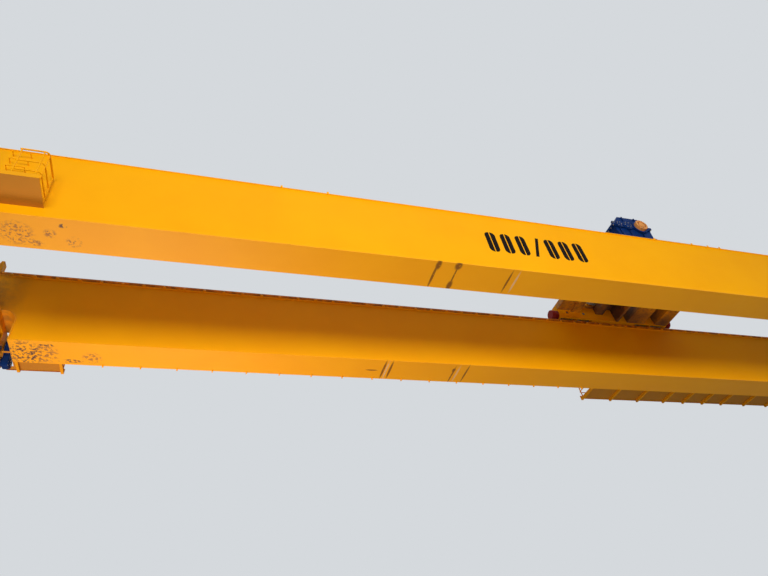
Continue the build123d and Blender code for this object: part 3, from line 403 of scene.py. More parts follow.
def enamel_on_casting(tree, place, colour):
    """Thick brushed enamel on cast housings: soft sand texture, dust above and darker patches."""
    worn = patches(tree, place, 300, 0.4, 0.75)
    base = dusty(tree, place, stained(tree, colour, darker(colour, 0.6), worn), 0.35)
    # Real sand texture is near 1 mm; drawn at 14 mm so that it still shows
    sand = patches(tree, place, 14, 0.2, 0.8, 3.0)
    finish(tree, base, 0.5, sand, 0.8, specular=0.06)


def blue_casting(tree, place):
    """The casting enamel in blue, on reducers and motors."""
    enamel_on_casting(tree, place, tint("blue"))


def orange_casting(tree, place):
    """The casting enamel in orange, on bearing caps and brakes."""
    enamel_on_casting(tree, place, tint("orange"))


def greased_enamel(tree, place):
    """Enamel of the trolley's frame under painted shade, laid on as a brown film: dull, streaked and dark.
    """
    # The brown film, the dark runs and the near-black wells are painted shade
    film = patches(tree, place, 700, 0.25, 0.6, 3.0)
    runs = patches(tree, place, 120, 0.45, 0.7, 4.0)
    colour = stained(tree, enamel(tree, place), tint("grease"), film, 0.6)
    colour = stained(tree, colour, tint("soot_and_shade"), runs, 0.5)
    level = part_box("trolley_deck")[0].z
    # Painted shade: near-black in the wells that open up into the trolley
    black = spots(tree, place, level, WELL_SHADE, patches(tree, place, 400, 0.15, 0.4, 3.0))
    colour = stained(tree, colour, tint("soot_and_shade"), black, 0.85)
    finish(tree, colour, 0.45, runs, 0.5, specular=0.2)


def cast_polyurethane(tree, place):
    """Cast polyurethane buffers: deep dull red, slightly chalky in patches."""
    chalk = patches(tree, place, 70, 0.45, 0.75)
    base = stained(tree, tint("red"), linear("A04A38"), chalk, 0.4)
    finish(tree, base, 0.6, chalk, 0.4, specular=0.2)


def turned_steel(tree, place):
    """Machined steel with a film of oil: bright, with darker stains."""
    stains = patches(tree, place, 160, 0.45, 0.75)
    base = stained(tree, tint("steel"), darker(tint("steel"), 0.45), stains)
    rough = add(tree, "ShaderNodeMapRange", {
        "Value": stains, "To Min": 0.28, "To Max": 0.5,
    }).outputs["Result"]
    # Real turning marks are near 0.5 mm; drawn at 6 mm so that they still show
    grain = patches(tree, place, 6, 0.2, 0.8)
    finish(tree, base, rough, grain, 0.3, metallic=1.0)


def rolled_rail(tree, place):
    """Rolled crane rail: painted flanks that rust through, and a head worn bright by the wheels."""
    rust = patches(tree, place, 240, 0.35, 0.6)
    flank = stained(tree, tint("deep_yellow"), tint("rust"), rust, 0.6)
    height = add(tree, "ShaderNodeSeparateXYZ", {"Vector": place}).outputs["Z"]
    head = add(tree, "ShaderNodeMath", {
        0: height, 1: RAIL_HIGH.z - RAIL_WEAR,
    }, operation="GREATER_THAN").outputs[0]
    base = stained(tree, flank, tint("steel"), head)
    rough = add(tree, "ShaderNodeMapRange", {
        "Value": head, "To Min": 0.7, "To Max": 0.3,
    }).outputs["Result"]
    finish(tree, base, rough, rust, 0.6, metallic=head)


def drum_steel(tree, place):
    """Turned rope drum: grey primer with grease in the grooves."""
    grease = patches(tree, place, 220, 0.35, 0.7)
    base = stained(tree, linear("77756F"), linear("3F3B37"), grease)
    finish(tree, base, 0.55, grease, 0.5, metallic=0.6)


def stencil_paint(tree, place):
    """Flat black paint rolled through a stencil: thin at the edges and slightly uneven."""
    thin = patches(tree, place, 60, 0.55, 0.8)
    base = stained(tree, tint("black"), linear("4A3410"), thin, 0.25)
    finish(tree, base, 0.7, thin, 0.3, specular=0.05)


def zinc_plate(tree, place):
    """Zinc plated bolts: dull pale grey with a faint yellow bloom."""
    bloom = patches(tree, place, 40, 0.4, 0.7)
    base = stained(tree, tint("zinc"), linear("8A7B57"), bloom)
    finish(tree, base, 0.45, bloom, 0.2, metallic=0.9)


def stage_floor(tree, place):
    """Plain painted floor with a very faint mottle."""
    mottle = patches(tree, place, 6000, 0.3, 0.7)
    base = stained(tree, tint("floor"), linear("CDCECF"), mottle, 0.15)
    finish(tree, base, 0.9)


MAKERS = {
    maker.__name__: maker for maker in (
        enamel_on_plate, enamel_underside, chequer_plate, greased_enamel, blue_casting, orange_casting,
        cast_polyurethane, turned_steel, rolled_rail, drum_steel, stencil_paint, zinc_plate, stage_floor,
    )
}


def material(name):
    """The named material, made when it is first asked for, in the object's own metres."""
    made = bpy.data.materials.get(name)
    if made is None:
        made = bpy.data.materials.new(name)
        made.use_nodes = True
        made.node_tree.nodes.clear()
        place = add(made.node_tree, "ShaderNodeTexCoord").outputs["Object"]
        MAKERS[name](made.node_tree, place)
    return made


# Places on the frame

def corners(points):
    """Lowest and highest corner of the points."""
    low = Vector([min(point[axis] for point in points) for axis in range(3)])
    high = Vector([max(point[axis] for point in points) for axis in range(3)])
    return low, high


def islands(node):
    """Lowest and highest corner of each separate solid of a node."""
    mesh = bmesh.new()
    mesh.from_mesh(frame["nodes"][node].data)
    bmesh.ops.remove_doubles(mesh, verts=mesh.verts, dist=SAME_POINT)
    seen = set()
    boxes = []
    for first in mesh.verts:
        if first in seen:
            continue
        seen.add(first)
        group = [first]
        for vertex in group:
            for edge in vertex.link_edges:
                other = edge.other_vert(vertex)
                if other not in seen:
                    seen.add(other)
                    group.append(other)
        boxes.append(corners([vertex.co for vertex in group]))
    mesh.free()
    return boxes


def standing(node, axis, value, apart=0.06):
    """Middles of the places where a node ends on a plane across the axis, given as its letter."""
    groups = []
    for vertex in frame["nodes"][node].data.vertices:
        if abs(getattr(vertex.co, axis) - value) > ON_PLANE:
            continue
        near = [group for group in groups if (group[0] - vertex.co).length < apart]
        if near:
            near[0].append(vertex.co.copy())
        else:
            groups.append([vertex.co.copy()])
    return [sum(corners(group), Vector()) / 2 for group in groups]


# Mesh helpers

def circle(radius, count, start=0.0):
    """Places round a circle, each as its steps across and up."""
    turns = [2 * math.pi * (index + start) / count for index in range(count)]
    return [(radius * math.cos(turn), radius * math.sin(turn)) for turn in turns]


def quarter(radius, steps):
    """Points of a quarter circle, each as its steps across and up."""
    turns = [math.pi / 2 * step / steps for step in range(steps + 1)]
    return [(radius * math.cos(turn), radius * math.sin(turn)) for turn in turns]


def turned_to(place, axis):
    """Matrix that sets a shape's own Z along the axis at the place."""
    return Matrix.Translation(place) @ Vector(axis).to_track_quat("Z", "Y").to_matrix().to_4x4()


def disc(mesh, place, axis, diameter, thick, sides=32):
    """Round plate standing on a face, its outer edge slightly broken."""
    stand = turned_to(place, axis) @ Matrix.Translation((0, 0, thick / 2))
    bmesh.ops.create_cone(
        mesh, cap_ends=True, segments=sides, radius1=diameter / 2, radius2=diameter / 2 - thick / 6,
        depth=thick, matrix=stand,
    )


def bolt(mesh, place, axis, across):
    """Washer and hexagon head standing on a face."""
    washer = across * WASHER_THICK
    disc(mesh, place, axis, across * WASHER_WIDTH, washer, 16)
    stand = turned_to(place, axis)
    head = across * HEAD_HIGH
    bmesh.ops.create_cone(
        mesh, cap_ends=True, segments=6, radius1=across / HEAD_FOOT, radius2=across / HEAD_TOP, depth=head,
        matrix=stand @ Matrix.Translation((0, 0, washer + head / 2)),
    )


def cover(plates, bolts, place, axis, diameter, thick, count, across):
    """Round cover on a face, with a ring of bolts."""
    disc(plates, place, axis, diameter, thick)
    stand = turned_to(place, axis)
    for x, y in circle(diameter / 2 - across, count):
        bolt(bolts, stand @ Vector((x, y, thick)), axis, across)


def plate(mesh, low, high, bevel=0.0):
    """Plate between two corners, its edges broken by a small bevel."""
    low, high = Vector(low), Vector(high)
    size = high - low
    made = bmesh.ops.create_cube(
        mesh, size=1.0, matrix=Matrix.Translation((low + high) / 2) @ Matrix.Diagonal((*size, 1.0))
    )
    if bevel:
        edges = list({edge for vertex in made["verts"] for edge in vertex.link_edges})
        bmesh.ops.bevel(mesh, geom=edges, offset=bevel, segments=1, affect="EDGES")


def seam(mesh, path, web_y, out, leg):
    """Fillet weld on the web at web_y, along the left hand of a path of X and Z."""
    rings = []
    last = len(path) - 1
    for index, (x, z) in enumerate(path):
        before = Vector(path[index]) - Vector(path[max(index - 1, 0)])
        after = Vector(path[min(index + 1, last)]) - Vector(path[index])
        ways = [Vector((-way.y, way.x)).normalized() for way in (before, after) if way.length > 0]
        middle = sum(ways, Vector((0, 0))).normalized()
        reach = leg / middle.dot(ways[0])
        rings.append([
            mesh.verts.new((x, web_y, z)), mesh.verts.new((x, web_y + out * leg, z)),
            mesh.verts.new((x + middle.x * reach, web_y, z + middle.y * reach)),
        ])
    for near, far in zip(rings, rings[1:]):
        for corner in range(3):
            other = (corner + 1) % 3
            mesh.faces.new((near[corner], near[other], far[other], far[corner]))
    mesh.faces.new(rings[0])
    mesh.faces.new(rings[-1])


def shown(name, mesh, finish_name):
    """Object of the mesh in the scene, with its finish."""
    data = bpy.data.meshes.new(name)
    mesh.to_mesh(data)
    mesh.free()
    data.materials.append(material(finish_name))
    obj = bpy.data.objects.new(name, data)
    bpy.context.scene.collection.objects.link(obj)
    return obj


def piece(name, mesh, body, slot_name, finish_name):
    """Make a piece of the mesh, with its finish and the body that it rides on."""
    if not mesh.faces:
        raise RuntimeError("nothing was made for " + name)
    bmesh.ops.recalc_face_normals(mesh, faces=mesh.faces)
    obj = shown(name, mesh, finish_name)
    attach(obj, body)


def spread(low, high, pitch):
    """Even places from low to high, no closer than the pitch."""
    count = max(1, int((high - low) / pitch))
    return [low + (high - low) * index / count for index in range(count + 1)]


# Operators

class CRANE_OT_stage(bpy.types.Operator):
    """Build the floor, the background, the lamps and the camera"""
    bl_idname = "crane.stage"
    bl_label = "Stage"

    # The camera's frame in mm, and how far it sees and half the floor's size in metres
    frame_width = 36.0
    sight = 500.0
    floor_half = 70.0
    # Name, place, aim, width and height, spread in degrees, the property that holds its power, colour
    lamp_rows = (
        ("key_lamp", (-9, -36, -4.4), (-2, 0, 1), 30, 12, 100, "key_power", "FFFFFF"),
        ("low_lamp", (-12.5, 6, -12), (-9, 0, 0), 12, 8, 120, "low_power", "FFE0CC"),
        ("top_lamp", (0, 0, 28), (0, 0, 0), 26, 26, 180, "top_power", "FFFFFF"),
        ("wide_lamp", (0, 0, 45), (0, 0, 0), 90, 90, 180, "wide_power", "FFFFFF"),
    )

    def execute(self, context):
        view = context.scene.crane_view
        context.scene.view_settings.view_transform = "Standard"
        self.camera(context, view)
        self.world(context, view)
        self.lamps(context, view)
        self.floor(context, view)
        return {"FINISHED"}

    def camera(self, context, view):
        """Camera that looks up at the crane from near the floor."""
        data = bpy.data.cameras.new("camera")
        data.lens = view.lens
        data.sensor_width = self.frame_width
        data.clip_end = self.sight
        obj = bpy.data.objects.new("camera", data)
        aim = Euler((math.pi / 2 + view.tilt, 0, -view.heading)).to_matrix().to_4x4()
        obj.matrix_world = Matrix.Translation(view.place) @ aim @ Matrix.Rotation(view.roll, 4, "Z")
        context.scene.collection.objects.link(obj)
        context.scene.camera = obj

    def world(self, context, view):
        """Faint cool light from all round, behind a plain pale background."""
        world = bpy.data.worlds.new("studio")
        world.use_nodes = True
        tree = world.node_tree
        tree.nodes.clear()
        path = add(tree, "ShaderNodeLightPath").outputs
        seen = path["Is Camera Ray"]
        for kind in ("Is Glossy Ray", "Is Transmission Ray"):
            seen = add(tree, "ShaderNodeMath", {0: seen, 1: path[kind]}, operation="MAXIMUM").outputs[0]
        light = add(tree, "ShaderNodeBackground", {"Color": linear("E6ECFF"), "Strength": view.ambient})
        backdrop = add(tree, "ShaderNodeBackground", {"Color": tint("backdrop"), "Strength": 1.0})
        both = add(tree, "ShaderNodeMixShader", {0: seen, 1: light.outputs[0], 2: backdrop.outputs[0]})
        add(tree, "ShaderNodeOutputWorld", {"Surface": both.outputs[0]})
        context.scene.world = world

    def lamps(self, context, view):
        """Large soft lamps in front, low at the left end, and overhead."""
        for name, place, aim, width, height, spread_degrees, strength, colour in self.lamp_rows:
            data = bpy.data.lights.new(name, "AREA")
            data.shape = "RECTANGLE"
            data.size = width
            data.size_y = height
            data.spread = math.radians(spread_degrees)
            data.energy = getattr(view, strength)
            data.color = linear(colour)[:3]
            obj = bpy.data.objects.new(name, data)
            obj.location = place
            obj.rotation_euler = (Vector(aim) - Vector(place)).to_track_quat("-Z", "Y").to_euler()
            context.scene.collection.objects.link(obj)

    def floor(self, context, view):
        """Plain floor below the camera."""
        mesh = bmesh.new()
        bmesh.ops.create_grid(mesh, x_segments=4, y_segments=4, size=self.floor_half)
        obj = shown("stage_floor", mesh, "stage_floor")
        obj.location = (0, 0, view.place[2] - view.floor_drop)


class CRANE_OT_paint_frame(bpy.types.Operator):
    """Give every carried-over solid its finish"""
    bl_idname = "crane.paint_frame"
    bl_label = "Paint the solids"

    finishes = {
        "machined_steel": "turned_steel",
        "rail_steel": "rolled_rail",
        "blue_machine_paint": "blue_casting",
        "orange_paint": "orange_casting",
        "red_buffer_paint": "cast_polyurethane",
        "drum_steel": "drum_steel",
        "yellow_paint": "enamel_on_plate",
    }
    others = {
        "front_girder_bottom_flange": "enamel_underside",
        "rear_girder_bottom_flange": "enamel_underside",
        "front_platforms": "chequer_plate",
        "rear_platforms": "chequer_plate",
        "trolley_deck": "greased_enamel",
        "trolley_cross_beams": "greased_enamel",
    }

    def execute(self, context):
        slots = {part["node"]: part["material_slot"] for part in frame["record"]["subparts"]}
        for name, obj in frame["nodes"].items():
            chosen = self.others.get(name) or self.finishes[slots[name]]
            for holder in obj.material_slots:
                holder.material = material(chosen)
        return {"FINISHED"}


class CRANE_OT_weld_seams(bpy.types.Operator):
    """Lay the fillet welds between webs and flanges"""
    bl_idname = "crane.weld_seams"
    bl_label = "Weld seams"

    arc_steps = 8

    def execute(self, context):
        leg = sizes().seam
        top = [(TOP_HIGH.x, WEB_HIGH.z), (TOP_LOW.x, WEB_HIGH.z)]
        for girder in ("front_girder", "rear_girder"):
            mesh = bmesh.new()
            for web in ("inner_web", "outer_web"):
                low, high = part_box(girder + "_" + web)
                middle = sum(corner.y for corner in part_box(girder + "_top_flange")) / 2
                out = 1 if low.y > middle else -1
                face = high.y if out > 0 else low.y
                seam(mesh, self.bottom(), face, out, leg)
                seam(mesh, top, face, out, leg)
            piece(girder + "_weld_seams", mesh, "bridge", *YELLOW)
        return {"FINISHED"}

    def bottom(self):
        """Inner edge of the bottom flange from left to right, with the round corners at the necks."""
        centre_x = DEEP_HALF + NECK_RADIUS
        centre_z = NECK_HIGH - NECK_RADIUS
        right = [(centre_x - x, centre_z + z) for x, z in quarter(NECK_RADIUS, self.arc_steps)]
        half = [(DEEP_HALF, FLANGE_LOW.z + FLANGE_PLATE), *right, (TOP_HIGH.x, NECK_HIGH)]
        return [(-x, z) for x, z in reversed(half)] + half


class CRANE_OT_rail_clips(bpy.types.Operator):
    """Clamp the trolley rails down with bolted clips"""
    bl_idname = "crane.rail_clips"
    bl_label = "Rail clips"

    # Reach over and beyond the rail's foot, gap beside it, and the bolt's place outside it
    over_foot = 0.02
    beyond_foot = 0.065
    beside_foot = 0.004
    bolt_out = 0.034
    thick = 0.02
    edge = 0.004
    packing_edge = 0.003

    def execute(self, context):
        size = sizes()
        clips = bmesh.new()
        bolts = bmesh.new()
        flange = TOP_HIGH.z
        foot_top = flange + RAIL_FOOT
        clip_top = foot_top + self.thick
        base = RAIL_BASE / 2
        half = size.clip_width / 2
        reach = STOP_HIGH.x - STOP_DEPTH - size.clip_pitch / 2
        for rail_y in (RAIL_LOW.y + base, RAIL_HIGH.y - base):
            for side in (-1, 1):
                foot = rail_y + side * base
                outer = foot + side * self.beyond_foot
                for x in spread(-reach, reach, size.clip_pitch):
                    y0, y1 = sorted((foot - side * self.over_foot, outer))
                    plate(clips, (x - half, y0, foot_top), (x + half, y1, clip_top), self.edge)
                    y0, y1 = sorted((foot + side * self.beside_foot, outer))
                    plate(clips, (x - half, y0, flange), (x + half, y1, foot_top), self.packing_edge)
                    bolt(bolts, (x, foot + side * self.bolt_out, clip_top), (0, 0, 1), size.bolt)
        piece("rail_clips", clips, "bridge", *YELLOW)
        piece("rail_clip_bolts", bolts, "bridge", *ZINC)
        return {"FINISHED"}


class CRANE_OT_bearing_covers(bpy.types.Operator):
    """Close bearings with bolted covers and lock the bogie pins with keeper plates"""
    bl_idname = "crane.bearing_covers"
    bl_label = "Bearing covers"

    # Diameter, thickness and number of bolts of each kind of cover
    axle_box = (0.27, 0.012, 6)
    wheel_box = (0.22, 0.012, 6)
    drum_box = (0.3, 0.02, 8)
    sheave_box = (0.24, 0.014, 6)
    drum_bolt = 0.8
    # Keeper plates: rise over the pin, thickness, half width and height, bevel, bolts off the middle
    keeper_over_pin = 0.07
    keeper_thick = 0.01
    keeper_half = (0.09, 0.02)
    keeper_edge = 0.002
    keeper_bolt = 0.068

    def execute(self, context):
        self.bridge()
        self.trolley()
        return {"FINISHED"}

    def bridge(self):
        """Covers on the bogies' axle boxes and keepers over the bogie pins."""
        size = sizes()
        covers = bmesh.new()
        bolts = bmesh.new()
        for end, node in ((-1, "left_crane_wheels"), (1, "right_crane_wheels")):
            wheels = [(low + high) / 2 for low, high in islands(node)]
            bogies = sum(abs(wheel.y) for wheel in wheels) / len(wheels)
            for wheel in wheels:
                for face in (1, -1) if abs(wheel.y) < bogies else (1,):
                    place = (end * (RUNWAY_RAIL + face * AXLE_BOX_FACE), wheel.y, wheel.z)
                    cover(covers, bolts, place, (end * face, 0, 0), *self.axle_box, size.small_bolt)
            for side in (-1, 1):
                x = end * (RUNWAY_RAIL - CARRIAGE_FACE)
                y = side * bogies
                z = wheels[0].z + PIN_RISE + self.keeper_over_pin
                front = x - end * self.keeper_thick
                x0, x1 = sorted((x, front))
                wide, high = self.keeper_half
                plate(covers, (x0, y - wide, z - high), (x1, y + wide, z + high), self.keeper_edge)
                for way in (-1, 1):
                    bolt(bolts, (front, y + way * self.keeper_bolt, z), (-end, 0, 0), size.small_bolt)
        piece("axle_box_covers", covers, "bridge", *YELLOW)
        piece("axle_box_bolts", bolts, "bridge", *ZINC)

    def trolley(self):
        """Covers on the wheels' bearings, the drums' outer ends and the sheaves' pin."""
        size = sizes()
        covers = bmesh.new()
        bolts = bmesh.new()
        ends = []
        for low, high in islands("trolley_wheels"):
            side = 1 if low.y + high.y > 0 else -1
            ends.append((low, high, side, self.wheel_box, size.small_bolt))
        for drum, side in (("main_drum", 1), ("aux_drum", -1)):
            low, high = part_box(drum)
            ends.append((low, high, side, self.drum_box, size.bolt * self.drum_bolt))
        low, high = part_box("upper_sheaves")
        for side in (-1, 1):
            ends.append((low, high, side, self.sheave_box, size.small_bolt))
        for low, high, side, kind, across in ends:
            middle = (low + high) / 2
            face = high.y if side > 0 else low.y
            cover(covers, bolts, (middle.x, face, middle.z), (0, side, 0), *kind, across)
        piece("trolley_bearing_covers", covers, "trolley", *YELLOW)
        piece("trolley_bearing_bolts", bolts, "trolley", *ZINC)


class CRANE_OT_reducer_fittings(bpy.types.Operator):
    """Bolt the main reducer together and close its other shafts"""
    bl_idname = "crane.reducer_fittings"
    bl_label = "Reducer fittings"

    flange_bolt = 0.8
    flange_pitch = 0.15
    # Shaft covers: share of the boss's diameter, thickness and number of bolts
    shaft_cover = (0.72, 0.02, 6)
    cap_bolts = 8
    hatch_inset = 0.03
    hatch_pitch = 0.16
    # The auxiliary reducer's split flange, and its shafts: share of its length, diameter of the cover
    aux_reach = 0.04
    aux_half = 0.02
    aux_edge = 0.004
    aux_bolt = 0.7
    aux_pitch = 0.2
    aux_shafts = ((0.28, 0.2), (0.68, 0.28))
    aux_below_split = 0.18

    def execute(self, context):
        size = sizes()
        bolts = bmesh.new()
        covers = bmesh.new()
        axis = (CAP_LOW.x + CAP_HIGH.x) / 2
        split = BASE_HIGH.z
        front = BASE_LOW.y + BOSS_REACH + SPLIT_REACH / 2
        back = BASE_HIGH.y - SPLIT_REACH / 2
        for y in (front, back):
            for x in self.beside_shafts(axis):
                bolt(bolts, (x, y, split + BOLT_BOSS_HEIGHT), (0, 0, 1), size.bolt)
        for x in (BASE_LOW.x + SPLIT_REACH / 2, BASE_HIGH.x - SPLIT_REACH / 2):
            for y in spread(front, back, self.flange_pitch):
                for way in (1, -1):
                    place = (x, y, split + way * SPLIT_HALF)
                    bolt(bolts, place, (0, 0, way), size.bolt * self.flange_bolt)
        share, thick, count = self.shaft_cover
        for offset, boss in SHAFTS[1:]:
            place = (axis + offset, BASE_LOW.y, split)
            cover(covers, bolts, place, (0, -1, 0), boss * share, thick, count, size.small_bolt)
        rim = (CAP_HIGH.x - CAP_LOW.x) / 2 - size.bolt
        for x, z in circle(rim, self.cap_bolts, 0.5):
            bolt(bolts, (axis + x, CAP_LOW.y, split + z), (0, -1, 0), size.small_bolt)
        self.hatch(bolts, size, (front + back) / 2)
        self.aux(covers, bolts, size)
        piece("main_reducer_shaft_covers", covers, "trolley", *BLUE)
        piece("main_reducer_bolts", bolts, "trolley", *ZINC)
        return {"FINISHED"}

    def aux(self, covers, bolts, size):
        """Split flange round the auxiliary reducer, and covers on its shafts."""
        low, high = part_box("aux_reducer")
        middle = (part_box("aux_drum")[0].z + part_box("aux_drum")[1].z) / 2
        reach = self.aux_reach
        half = self.aux_half
        for x0, x1, y0, y1 in (
            (low.x - reach, high.x + reach, high.y, high.y + reach),
            (low.x - reach, low.x, low.y + reach, high.y),
            (high.x, high.x + reach, low.y + reach, high.y),
        ):
            plate(covers, (x0, y0, middle - half), (x1, y1, middle + half), self.aux_edge)
        for x in spread(low.x - reach / 2, high.x + reach / 2, self.aux_pitch):
            place = (x, high.y + reach / 2, middle + half)
            bolt(bolts, place, (0, 0, 1), size.bolt * self.aux_bolt)
        thick, count = self.shaft_cover[1:]
        for share, diameter in self.aux_shafts:
            place = (low.x + (high.x - low.x) * share, high.y, middle - self.aux_below_split)
            cover(covers, bolts, place, (0, 1, 0), diameter, thick, count, size.small_bolt)

    def beside_shafts(self, axis):
        """Bolts either side of each shaft; where two bosses meet, one bolt between them."""
        places = sorted(
            axis + offset + side * (boss + BOLT_BOSS_WIDTH) / 2
            for offset, boss in SHAFTS for side in (-1, 1)
        )
        merged = [places[0]]
        for place in places[1:]:
            if place - merged[-1] < BOLT_BOSS_WIDTH:
                merged[-1] = (merged[-1] + place) / 2
            else:
                merged.append(place)
        low = BASE_LOW.x + SPLIT_REACH + BOLT_BOSS_WIDTH / 2
        return [max(place, low) for place in merged]

    def hatch(self, bolts, size, middle_y):
        """Bolts round the inspection hatch on top."""
        top = COVER_HIGH.z - HATCH_BELOW_TOP + HATCH_RISE
        half_x, half_y = [half - self.hatch_inset for half in HATCH_HALF]
        for x in spread(-half_x, half_x, self.hatch_pitch):
            for y in (-half_y, half_y):
                bolt(bolts, (HATCH_CENTRE + x, middle_y + y, top), (0, 0, 1), size.small_bolt)


class CRANE_OT_drive_fittings(bpy.types.Operator):
    """Bolt the travel drives' covers and the buffers' plates"""
    bl_idname = "crane.drive_fittings"
    bl_label = "Drive fittings"

    # Cap over the lower shaft: diameter, thickness and number of bolts
    cap = (0.2, 0.016, 6)
    ledge_bolt = 0.7
    ledge_bolts = 12
    open_side = -0.2
    buffer_plate = 0.025
    buffer_inset = 0.045

    def execute(self, context):
        size = sizes()
        bolts = bmesh.new()
        covers = bmesh.new()
        for low, high in islands("travel_reducers"):
            end = 1 if low.x > 0 else -1
            side = 1 if low.y > 0 else -1
            near_y, far_y = sorted((abs(low.y), abs(high.y)))
            lower = Vector((side * (far_y - DRIVE_LOWER_ROUND), low.z + DRIVE_LOWER_ROUND))
            upper = Vector((side * (near_y + DRIVE_UPPER_ROUND), high.z - DRIVE_UPPER_ROUND))
            for centre, other, rounding in (
                (lower, upper, DRIVE_LOWER_ROUND), (upper, lower, DRIVE_UPPER_ROUND),
            ):
                self.ring(bolts, end, centre, other, rounding - DRIVE_LEDGE / 2, size)
            place = (end * DRIVE_FACE, lower.x, lower.y)
            cover(covers, bolts, place, (-end, 0, 0), *self.cap, size.small_bolt)
        piece("travel_drive_caps", covers, "bridge", *BLUE)
        for low, high in islands("crane_buffers"):
            side = 1 if low.y > 0 else -1
            face = low.y + self.buffer_plate if side > 0 else high.y - self.buffer_plate
            for x in (low.x + self.buffer_inset, high.x - self.buffer_inset):
                for z in (low.z + self.buffer_inset, high.z - self.buffer_inset):
                    bolt(bolts, (x, face, z), (0, side, 0), size.bolt)
        piece("travel_drive_bolts", bolts, "bridge", *ZINC)
        return {"FINISHED"}

    def ring(self, bolts, end, centre, other, radius, size):
        """Bolts on the ledge round one end of the housing, left out towards the other end."""
        x = end * (DRIVE_FACE + DRIVE_COVER)
        away = (centre - other).normalized()
        for way in circle(1.0, self.ledge_bolts):
            if Vector(way).dot(away) > self.open_side:
                spot = centre + Vector(way) * radius
                bolt(bolts, (x, spot.x, spot.y), (-end, 0, 0), size.small_bolt * self.ledge_bolt)


class CRANE_OT_sockets(bpy.types.Operator):
    """Set the handrail posts in sockets and the climbing irons on weld pads"""
    bl_idname = "crane.sockets"
    bl_label = "Sockets and pads"

    socket_height = 0.07
    pad_thick = 0.006

    def execute(self, context):
        size = sizes()
        sockets = bmesh.new()
        for node in ("front_handrails", "rear_handrails"):
            for foot in standing(node, "z", PLATFORM_FLOOR):
                disc(sockets, foot, (0, 0, 1), size.socket, self.socket_height, 20)
        piece("post_sockets", sockets, "bridge", *YELLOW)
        pads = bmesh.new()
        for end in standing("climbing_irons", "y", WEB_LOW.y):
            disc(pads, end, (0, -1, 0), size.pad, self.pad_thick, 16)
        piece("iron_pads", pads, "bridge", *YELLOW)
        return {"FINISHED"}


class CRANE_OT_cable_cleats(bpy.types.Operator):
    """Hang small cleats under the back edge of the rear girder's flange"""
    bl_idname = "crane.cable_cleats"
    bl_label = "Cable cleats"

    first_x = -12.63
    last_x = 4.2
    drop = 0.055
    half = 0.02
    reach = 0.045
    lip = 0.012
    bevel = 0.004

    def execute(self, context):
        mesh = bmesh.new()
        # The rear girder mirrors the front one
        edge = -FLANGE_LOW.y
        top = FLANGE_LOW.z
        for x in spread(self.first_x, self.last_x, sizes().cleat_pitch):
            low = (x - self.half, edge - self.reach, top - self.drop)
            high = (x + self.half, edge + self.lip, top)
            plate(mesh, low, high, self.bevel)
        piece("cable_cleats", mesh, "bridge", *YELLOW)
        return {"FINISHED"}


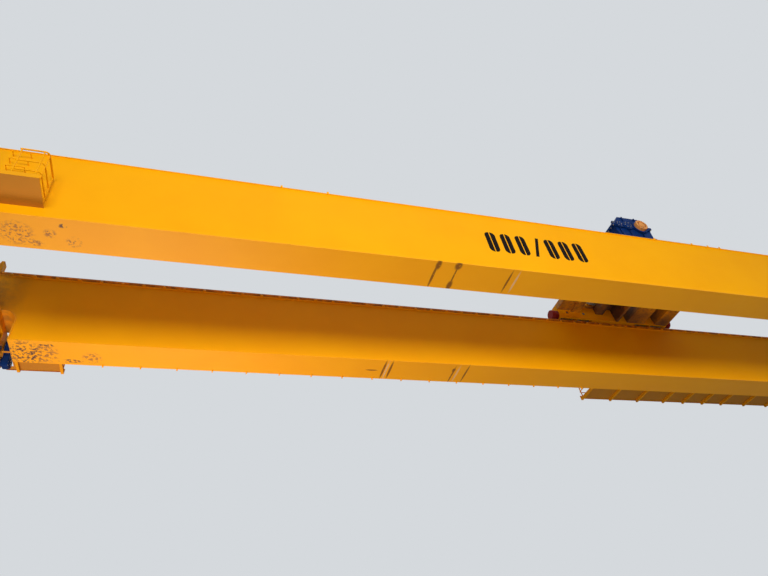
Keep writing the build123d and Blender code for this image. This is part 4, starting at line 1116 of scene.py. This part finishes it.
class CRANE_OT_figures(bpy.types.Operator):
    """Stencil generic figures on the front girder"""
    bl_idname = "crane.figures"
    bl_label = "Stencilled figures"

    marks = "000/000"
    first_x = -1.74
    middle_z = 1.30
    lift = 0.0015
    corner_share = 0.42
    corner_steps = 6
    lean_share = 0.38
    thick_share = 0.16

    def execute(self, context):
        size = sizes()
        mesh = bmesh.new()
        x = self.first_x
        for mark in self.marks:
            draw = self.stroke if mark == "/" else self.zero
            draw(mesh, x, size)
            x += size.figure_pitch
        piece("stencilled_figures", mesh, "bridge", "yellow_paint", "stencil_paint")
        return {"FINISHED"}

    def film(self, mesh, outline):
        """Thin film of paint with the outline, given as X and Z."""
        face = mesh.faces.new([mesh.verts.new((x, WEB_LOW.y - self.lift, z)) for x, z in outline])
        made = bmesh.ops.extrude_face_region(mesh, geom=[face])
        back = [item for item in made["geom"] if isinstance(item, bmesh.types.BMVert)]
        bmesh.ops.translate(mesh, vec=(0, self.lift, 0), verts=back)

    def zero(self, mesh, x, size):
        """Two rounded halves either side of the stencil's bridge."""
        half = size.figure_height / 2
        reach = size.figure_width / 2
        radius = size.figure_width * self.corner_share
        bends = quarter(radius, self.corner_steps)
        for side in (-1, 1):
            inner = x + side * size.figure_slit / 2
            centre = x + side * (reach - radius)
            low = self.middle_z - half + radius
            high = self.middle_z + half - radius
            outline = [(inner, low - radius)]
            outline += [(centre + side * along, low - across) for across, along in bends]
            outline += [(centre + side * along, high + across) for along, across in bends]
            outline.append((inner, high + radius))
            self.film(mesh, outline)

    def stroke(self, mesh, x, size):
        """Slanted bar."""
        half = size.figure_height / 2
        lean = size.figure_width * self.lean_share
        thick = size.figure_width * self.thick_share
        self.film(mesh, [
            (x - lean - thick, self.middle_z - half), (x - lean + thick, self.middle_z - half),
            (x + lean + thick, self.middle_z + half), (x + lean - thick, self.middle_z + half),
        ])


class CRANE_PT_finish(bpy.types.Panel):
    """Lists the steps that dress the crane"""
    bl_idname = "CRANE_PT_finish"
    bl_label = "Crane finish"
    bl_space_type = "VIEW_3D"
    bl_region_type = "UI"
    bl_category = "Crane"

    def draw(self, context):
        for step in STEPS:
            self.layout.operator(step.bl_idname)
        for group in GROUPS:
            holder = getattr(context.scene, group)
            box = self.layout.box()
            for name in holder.bl_rna.properties.keys():
                if name not in ("rna_type", "name"):
                    box.prop(holder, name)


STEPS = (
    CRANE_OT_stage, CRANE_OT_paint_frame, CRANE_OT_weld_seams, CRANE_OT_rail_clips,
    CRANE_OT_bearing_covers, CRANE_OT_reducer_fittings, CRANE_OT_drive_fittings, CRANE_OT_sockets,
    CRANE_OT_cable_cleats, CRANE_OT_figures,
)
GROUPS = {"crane_colours": CraneColours, "crane_sizes": CraneSizes, "crane_view": CraneView}


def register():
    """Register the groups of properties, the steps and the panel."""
    for name, group in GROUPS.items():
        bpy.utils.register_class(group)
        setattr(bpy.types.Scene, name, bpy.props.PointerProperty(type=group))
    for item in (*STEPS, CRANE_PT_finish):
        bpy.utils.register_class(item)


def unregister():
    """Take away all that register adds."""
    for item in (*STEPS, CRANE_PT_finish):
        bpy.utils.unregister_class(item)
    for name, group in GROUPS.items():
        delattr(bpy.types.Scene, name)
        bpy.utils.unregister_class(group)


def main():
    """Dress the crane step by step."""
    register()
    for step in STEPS:
        group, name = step.bl_idname.split(".")
        getattr(getattr(bpy.ops, group), name)()


if __name__ == "__main__":
    main()
